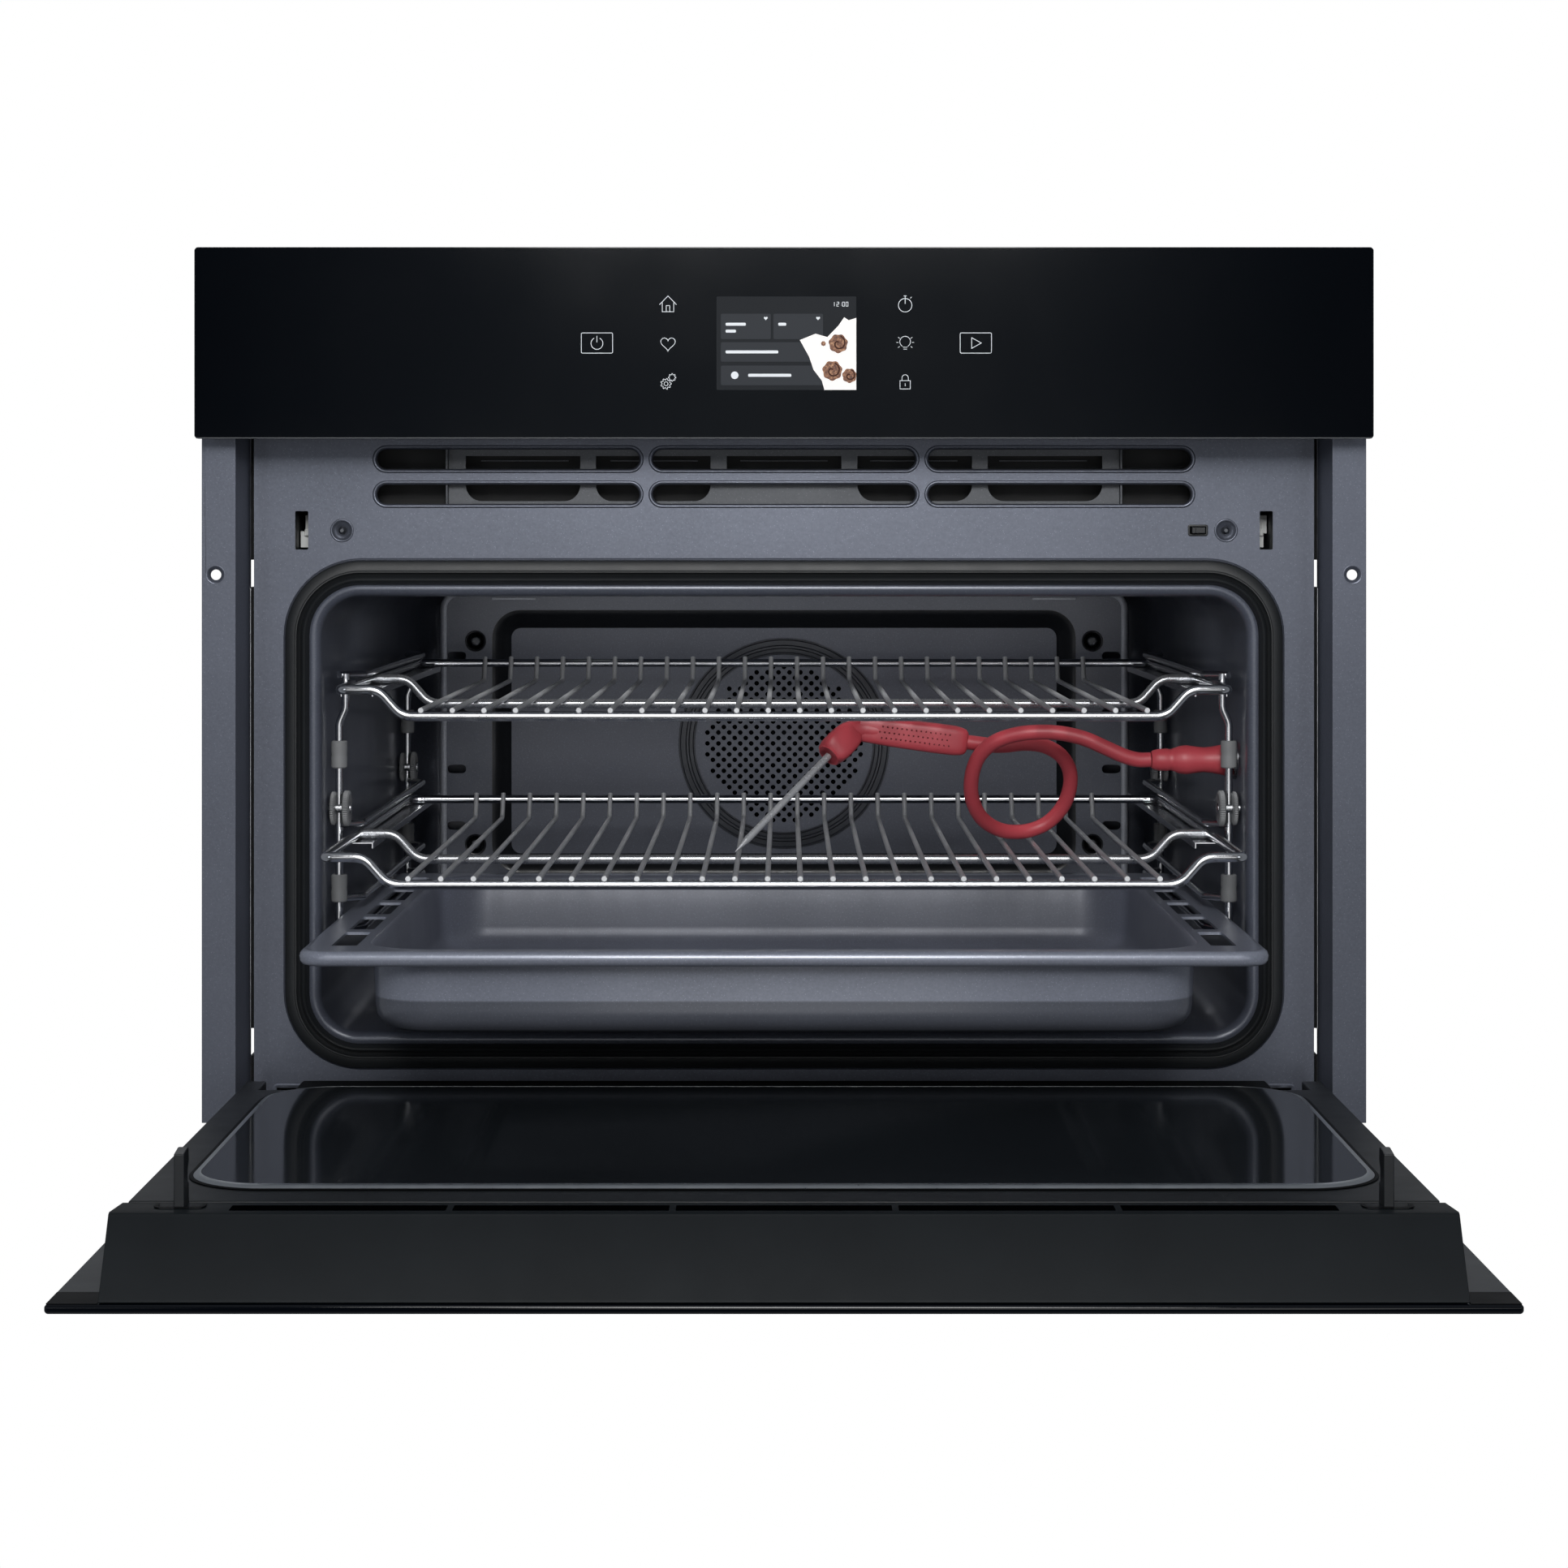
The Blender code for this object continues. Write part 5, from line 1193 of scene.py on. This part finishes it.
def paint_shade_towards(material, axis, near, far, most):
    """The colour deepens between two places along an axis: painted shade, and on the tray's outer wall a
    painted reflection of the dark door.
    """
    tree = Nodes(material.node_tree)
    colour = tree.nodes["Principled BSDF"].inputs["Base Color"]
    place = tree.split(tree.add("TexCoord").outputs["Object"])[axis]
    share = tree.to_range(place, 0.0, most, near, far)
    tree.link(tree.mix(share, colour.links[0].from_socket, (0.010, 0.011, 0.013)), colour)


def make_tray():
    """The deep enamelled tray: rolled edge, slotted ledges, soft-cornered well and a raised floor."""
    low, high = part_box("baking_tray")
    centre = (0.0, (low.y + high.y) / 2)
    outer = (high.x + 0.0020, (high.y - low.y) / 2)
    top, floor = high.z - 0.0023, low.z - 0.0034
    ledge_half = (outer[0] - 0.0042, outer[1] - 0.0042)
    well_half = (0.2018, outer[1] - 0.0115)
    loops = [rounded(*ledge_half, 0.0110, 8, centre), rounded(*well_half, 0.0320, 12, centre)]
    for _, sign in SIDES:
        for i in range(5):
            y = low.y + 0.0514 + 0.064 * i
            loops.append(rounded(0.0062, 0.0265, 0.0012, 3, (sign * 0.2120, y)))
    flat_plate("tray_ledge", loops, "top", top - 0.0014, top, TRAY_ENAMEL, "tray", ["baking_tray"])
    edge = raised(top, [(-0.0042, 0.0), (-0.0022, 0.0001), (-0.0008, -0.0010), (-0.0001, -0.0030),
                        (-0.0004, -0.0052), (-0.0016, -0.0068), (-0.0034, -0.0072), (-0.0048, -0.0062),
                        (-0.0046, -0.0050), (-0.0032, -0.0056), (-0.0020, -0.0044), (-0.0022, -0.0026),
                        (-0.0032, -0.0014), (-0.0042, -0.0014)])
    rim_piece("tray_rolled_edge", outer, 0.0145, edge, centre, TRAY_ENAMEL, 12, "top",
              body="tray")
    walls = [(0.0002, top), (-0.0008, top - 0.0004), (-0.0020, top - 0.0016), (-0.0030, top - 0.0040),
             (-0.0040, floor + 0.0120), (-0.0048, floor + 0.0074), (-0.0078, floor + 0.0030),
             (-0.0150, floor + 0.0008), (-0.0200, floor), (-0.0300, floor), (-0.0400, floor),
             (-0.0412, floor + 0.0003), (-0.0426, floor + 0.0015), (-0.0440, floor + 0.0018),
             (-0.0520, floor + 0.0018)]
    bm = bmesh.new()
    join_rings(bm, frame_rings(*well_half, 0.0320, walls, "top", centre, 14), last_cap=True)
    made = mesh_piece("tray_well", bm, TRAY_INNER_SHADED, "tray", sharp=60)
    made.data.materials.append(TRAY_OUTER_REFLECTION)
    add_wall(made, 0.0012, inner_material=1)
    # painted shade: the well darkens towards its far wall
    paint_shade_towards(TRAY_INNER_SHADED, "Y", high.y - 0.030, high.y - 0.012, 0.45)
    # painted reflection: the outer wall is darker below mid-height, where it mirrors the dark door
    paint_shade_towards(TRAY_OUTER_REFLECTION, "Z", 0.0977, 0.0967, 0.58)


# ---------------------------------------------------------------- door

PANE_LOW, PANE_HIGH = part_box("door_inner_glass")
PANE_CORNER = 0.034
PANE_FRONT = -0.2752
GROUND_EDGE = 0.0032
SEAM_Y = -0.2975  # where the top trim meets the door's frame
TRIM_HALF = 0.2762


def make_pane():
    """The inner pane with its bright ground edge, on a black ring of painted shade round it."""
    half = (PANE_HIGH.x, (PANE_HIGH.y - PANE_FRONT) / 2)
    centre = (0.0, (PANE_HIGH.y + PANE_FRONT) / 2)
    top = PANE_HIGH.z
    bm = bmesh.new()
    inset = -GROUND_EDGE + 0.0002
    join_rings(bm, frame_rings(*half, PANE_CORNER, [(inset, PANE_LOW.z), (inset, top), (-0.0200, top)],
                               "top", centre, 14), first_cap=True, last_cap=True)
    mesh_piece("inner_pane", bm, DOOR_GLASS, "door", ["door_inner_glass"])
    edge = [(-GROUND_EDGE, PANE_LOW.z), (0.0, PANE_LOW.z), (0.0001, PANE_LOW.z + 0.0004),
            (-0.0009, top - 0.0005), (-0.0024, top - 0.00005), (-GROUND_EDGE, top + 0.00005)]
    rim_piece("pane_ground_edge", half, PANE_CORNER, edge, centre, PANE_EDGE, 14, "top",
              body="door")
    # black ring round the pane: painted shade of the gap between pane and frame
    seal = [(-0.0040, PANE_LOW.z - 0.0003), (0.0016, PANE_LOW.z - 0.0003), (0.0020, PANE_LOW.z + 0.0001),
            (0.0014, PANE_LOW.z + 0.0005), (0.0003, PANE_LOW.z + 0.0002), (-0.0040, PANE_LOW.z - 0.0001)]
    rim_piece("pane_rim_shade", half, PANE_CORNER, seal, centre, BLACK_SEAL_AND_SHADE, 14, "top", body="door")


def make_door():
    """The door's moulded frame, its vented top trim with slots painted black as shade, the hooks with
    U-shaped bands of painted shade, and a band of painted shadow along the hinge gap.
    """
    low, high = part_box("door_frame")
    outline = [(-0.2740, SEAM_Y + 0.0003), (0.2740, SEAM_Y + 0.0003), (0.2740, high.y),
               (0.2640, high.y), (0.2640, -0.0300), (0.2460, -0.0300), (0.2460, high.y),
               (-0.2460, high.y), (-0.2460, -0.0300), (-0.2640, -0.0300), (-0.2640, high.y),
               (-0.2740, high.y)]
    loops = [outline, rounded(0.2440, 0.1130, 0.016, 8, (0.0, -0.1570))]
    frame = flat_plate("door_body", loops, "top", low.z, high.z, DOOR_PLASTIC, "door",
                       ["door_frame"])
    add_bevel(frame, 0.0009, 3)
    foot = low.z
    top = high.z - 0.0006
    nose = TRIM_HALF + 0.0018
    section = [(TRIM_HALF, SEAM_Y, foot), (TRIM_HALF, SEAM_Y, top), (nose, -0.3158, top),
               (nose, -0.3172, top - 0.0006), (nose, -0.3179, top - 0.0016),
               (TRIM_HALF, -0.3447, foot + 0.0014), (TRIM_HALF, -0.3451, foot + 0.0004),
               (TRIM_HALF, -0.3448, foot)]
    bm = bmesh.new()
    rings = [[(sign * half, depth, z) for half, depth, z in section] for sign in (-1, 1)]
    join_rings(bm, rings, first_cap=True, last_cap=True)
    trim = mesh_piece("top_trim", bm, TRIM_PLASTIC, "door", ["door_top_trim"])
    add_bevel(trim, 0.0011, 4, 28)
    # the vent slots are flat black patches on the trim: painted shade
    for number in range(5):
        x = (number - 2) * 0.0922
        slab_piece("trim_vent_shade_%d" % (number + 1), rounded(0.0447, 0.0048, 0.0004, 3, (x, -0.3087)), "top",
                   top - 0.0001, top + 0.0002, VENT_SHADE, "door")
    # a black band along the door's rear edge: painted shadow of the hinge gap
    slab_piece("door_rear_painted_shadow", box_outline(-0.2450, 0.2450, -0.0262, -0.0052), "top", top + 0.0004,
               top + 0.0009, BLACK_SEAL_AND_SHADE, "door", bevel=0.0002)
    low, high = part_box("door_outer_glass")
    for side, sign in SIDES:
        near, far = mirrored(sign, TRIM_HALF + 0.0004, high.x - 0.0008)
        slab_piece(side + "_glass_strip", box_outline(near, far, low.y + 0.0008, low.y + 0.0205), "top",
                   high.z - 0.0001, high.z + 0.0004, BLACK_SEAL_AND_SHADE, "door", bevel=0.0001)
        # painted reflection on the glass's inner face beside the trim
        slab_piece(side + "_glass_painted_reflection", box_outline(near, far, low.y + 0.0206, high.y - 0.0010), "top",
                   high.z - 0.0001, high.z + 0.0002, GLASS_REFLECTION, "door")
        make_hook(side, sign)
    make_pane()


def make_hook(side, sign):
    """A straight hook with a sloping tip and a barb, with a flat black U-shaped band of painted shade round
    its foot.
    """
    x, y, half, reach = sign * LATCH_X, -0.3037, 0.0022, 0.0098
    outline = [(y - 0.0053, 0.0300), (y + 0.0057, 0.0300), (y + 0.0057, 0.0500), (y + 0.0032, 0.0512),
               (y + 0.0032, 0.0560), (y + 0.0058, 0.0595), (y + 0.0048, 0.0650), (y + 0.0030, 0.0650),
               (y - 0.0053, 0.0638)]
    slab_piece(side + "_hook", outline, "side", x - half, x + half, BLACK_PLASTIC, "door",
               [side + "_latch_hook"], 0.0005)
    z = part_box("door_frame")[1].z
    path = bent([(x - reach, y + 0.0010, z), (x - reach, y - 0.0062, z), (x + reach, y - 0.0062, z),
                 (x + reach, y + 0.0010, z)], 0.0035, 6)
    # a flat black band: painted shade of the U-shaped recess round the hook
    bm = bmesh.new()
    ribbon_on_top(bm, path, 0.0019, z - 0.0001, z + 0.00012)
    mesh_piece(side + "_hook_recess_shade", bm, BLACK_SEAL_AND_SHADE, "door")


def ribbon_on_top(bm, path, width, low, high):
    """A flat band along the path, lying on a level face."""
    left, right = [], []
    for i, here in enumerate(path):
        along = (path[min(i + 1, len(path) - 1)] - path[max(i - 1, 0)]).normalized()
        side = Vector((-along.y, along.x, 0.0)) * width / 2
        left.append(here + side)
        right.append(here - side)
    rows = [[bm.verts.new((p.x, p.y, z)) for p in line]
            for line, z in ((left, low), (right, low), (right, high), (left, high))]
    for near, far in zip(rows, rows[1:] + rows[:1]):
        for i in range(len(path) - 1):
            bm.faces.new((near[i], near[i + 1], far[i + 1], far[i]))
    bm.faces.new([row[0] for row in rows])
    bm.faces.new([row[-1] for row in rows])


# ---------------------------------------------------------------- food probe

def straight_rings(start, end, profile, sides, flatten=1.0, power=2.0):
    """Rings of each (share along, radius) between two points: round at power 2, squarer above it."""
    start, end = Vector(start), Vector(end)
    along = (end - start).normalized()
    side = along.cross(Vector((0.0, 1.0, 0.0))).normalized()
    other = along.cross(side)
    rings = []
    for share, radius in profile:
        middle = start.lerp(end, share)
        ring = []
        for i in range(sides):
            u, v = math.cos(2 * math.pi * i / sides), math.sin(2 * math.pi * i / sides)
            reach = radius / (abs(u) ** power + abs(v) ** power) ** (1 / power)
            ring.append(middle + side * reach * u + other * reach * v * flatten)
        rings.append(ring)
    return rings


def turned_piece(name, start, end, profile, material, replaces=(), sides=32, flatten=1.0,
                 power=2.0, body="food_probe", sharp=40):
    bm = bmesh.new()
    join_rings(bm, straight_rings(start, end, profile, sides, flatten, power), first_cap=True, last_cap=True)
    return mesh_piece(name, bm, material, body, replaces, sharp)


def make_probe():
    """Plug, grip and head in red silicone over the steel spike."""
    plug_low, plug_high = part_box("probe_plug")
    plug = [(0.0, 0.0044), (0.03, 0.0052), (0.10, 0.0058), (0.20, 0.0060), (0.24, 0.0056), (0.28, 0.0062),
            (0.36, 0.0074), (0.44, 0.0078), (0.56, 0.0071), (0.66, 0.0066), (0.76, 0.0070),
            (0.88, 0.0080), (0.97, 0.0089), (1.0, 0.0087)]
    begin, neck, end = ((x, PLUG_Y, PLUG_Z) for x in (plug_low.x, plug_low.x + 0.0420, plug_high.x))
    turned_piece("probe_plug_body", begin, neck, plug, RED_SILICONE, ["probe_plug"])
    turned_piece("probe_plug_pin", neck, end,
                 [(0.0, 0.0031), (0.72, 0.0031), (0.78, 0.0024), (0.84, 0.0030), (1.0, 0.0012)], STAINLESS)
    start = Vector(PROBE_ROUTE[0])
    along = (ELBOW - start).normalized()
    down = (SPIKE_TIP - ELBOW).normalized()
    nose = ELBOW + 0.024 * down
    grip = [(0.0, 0.0050), (0.02, 0.0066), (0.06, 0.0074), (0.12, 0.0079), (0.30, 0.0080), (0.70, 0.0076),
            (0.90, 0.0070), (1.0, 0.0068)]
    turned_piece("probe_grip", start, ELBOW - 0.002 * along, grip, RED_SILICONE,
                 ["probe_handle"], flatten=0.86, power=5.0, sides=48)
    head_path = bent([start.lerp(ELBOW, 0.80), ELBOW, nose], 0.016, 10)
    wires("probe_neck", [head_path], 0.0064, RED_SILICONE, "food_probe", sides=8)
    head = [(0.0, 0.0062), (0.10, 0.0072), (0.30, 0.0080), (0.70, 0.0080), (0.90, 0.0070), (1.0, 0.0048)]
    turned_piece("probe_head", ELBOW + 0.004 * down, nose, head, RED_SILICONE, power=5.0,
                 sides=48)
    make_grip_dots(start, along)
    spike = [(0.0, 0.0019), (0.88, 0.0019), (0.90, 0.0017), (1.0, 0.0002)]
    turned_piece("probe_needle", nose - 0.006 * down, SPIKE_TIP, spike, SPIKE_STEEL,
                 ["probe_spike"], sides=20)


def make_grip_dots(start, along):
    """Rows of small raised dots on the grip's near side."""
    side = along.cross(Vector((0.0, 1.0, 0.0))).normalized()
    bm = bmesh.new()
    for row in range(3):
        for column in range(15):
            across = (row - 1) * 0.0030
            distance = 0.010 + 0.0026 * column + (0.0013 if row % 2 else 0.0)
            reach = 0.0078 * 0.86
            depth = -reach * (1 - abs(across / 0.0079) ** 5) ** 0.2
            middle = start + along * distance + side * across + Vector((0.0, depth, 0.0))
            dot = bmesh.ops.create_uvsphere(bm, u_segments=8, v_segments=6, radius=0.00048)
            bmesh.ops.translate(bm, verts=dot["verts"], vec=middle)
    mesh_piece("probe_grip_dots", bm, DARK_RED, "food_probe")


# ---------------------------------------------------------------- outside of the chassis

def pan_head(bm, place, plane, radius=0.0036):
    """A flat screw head with a round recess, standing on the point."""
    u, v, depth, outward = place
    profile = [(radius, depth), (radius, depth + outward * 0.0009), (radius * 0.80, depth + outward * 0.0017),
               (radius * 0.34, depth + outward * 0.0019), (radius * 0.26, depth + outward * 0.0007)]
    join_rings(bm, turned_rings(profile, plane, (u, v), 20), first_cap=True, last_cap=True)


def make_chassis_screws():
    """Rows of screws where the outer sheets are held together."""
    bm = bmesh.new()
    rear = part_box("rear_panel")[1].y
    for u in (-0.265, -0.090, 0.090, 0.265):
        for v in (0.012, 0.434):
            pan_head(bm, (u, v, rear, 1), "front")
    for v in (0.150, 0.290):
        for u in (-0.268, 0.268):
            pan_head(bm, (u, v, rear, 1), "front")
    mesh_piece("rear_screws", bm, STAINLESS, "chassis")
    for side, sign in SIDES:
        wall = sign * 0.278
        bm = bmesh.new()
        for u in (0.045, 0.290, 0.525):
            for v in (0.022, 0.432):
                pan_head(bm, (u, v, wall, sign), "side")
        mesh_piece(side + "_side_screws", bm, STAINLESS, "chassis")


# ---------------------------------------------------------------- the CAD parts that stay

STAYS = (  # (material, edge bevel, nodes)
    (GALVANISED, 0.0006, ("base_pan", "left_side_panel", "right_side_panel", "top_cover", "rear_panel",
                          "blower_housing", "waveguide")),
    (DUCT_STEEL, 0.0004, ("vent_duct",)),
    (MACHINERY, 0.0004, ("left_hinge_receiver", "right_hinge_receiver", "left_hinge_arm", "right_hinge_arm",
                         "fan_motor", "magnetron")),
    (SHADED_FAN, 0.0003, ("fan_impeller",)),
    (HEATER, 0.0, ("grill_element", "ring_element")),
    (WOOL, 0.0030, ("insulation_wrap",)),
    (BOARD, 0.0003, ("control_board", "power_board")),
    (BLACK_PLASTIC, 0.0005, ("control_panel_housing", "display_module", "door_switch", "blower_wheel",
                             "left_latch_interlock", "right_latch_interlock", "terminal_block")),
    (PANEL_GLASS, 0.0010, ("door_outer_glass",)),
    (DOOR_GLASS, 0.0004, ("door_middle_glass",)),
    (LAMP_GLASS, 0.0006, ("oven_lamp",)),
    (STAINLESS, 0.0004, ("probe_socket",)),
)


FLAT_SHEETS = ("base_pan", "left_side_panel", "right_side_panel", "top_cover", "rear_panel")


def finish_cad_parts():
    """The stand-in nodes get their material, softened edges and, unless flat, smooth shading."""
    for material, width, names in STAYS:
        for name in names:
            part = NODES[name]
            part.data.materials.clear()
            part.data.materials.append(material)
            weld = part.modifiers.new("Weld", "WELD")
            weld.merge_threshold = 0.00001
            if width:
                add_bevel(part, width, 2, 30)
            if name not in FLAT_SHEETS:
                smooth = part.modifiers.new("Crisp", "EDGE_SPLIT")
                smooth.split_angle = math.radians(32)
            for face in part.data.polygons:
                face.use_smooth = name not in FLAT_SHEETS


make_panel()
make_vents()
make_front_frame()
make_frame_fittings()
make_gasket()
make_cavity()
make_guard()
make_rack("upper_shelf_rack", "upper_rack", "upper_shelf")
make_rack("lower_shelf_rack", "lower_rack", "lower_shelf")
for side, sign in SIDES:
    make_side_rack(side, sign)
make_tray()
make_door()
make_probe()
make_chassis_screws()
finish_cad_parts()
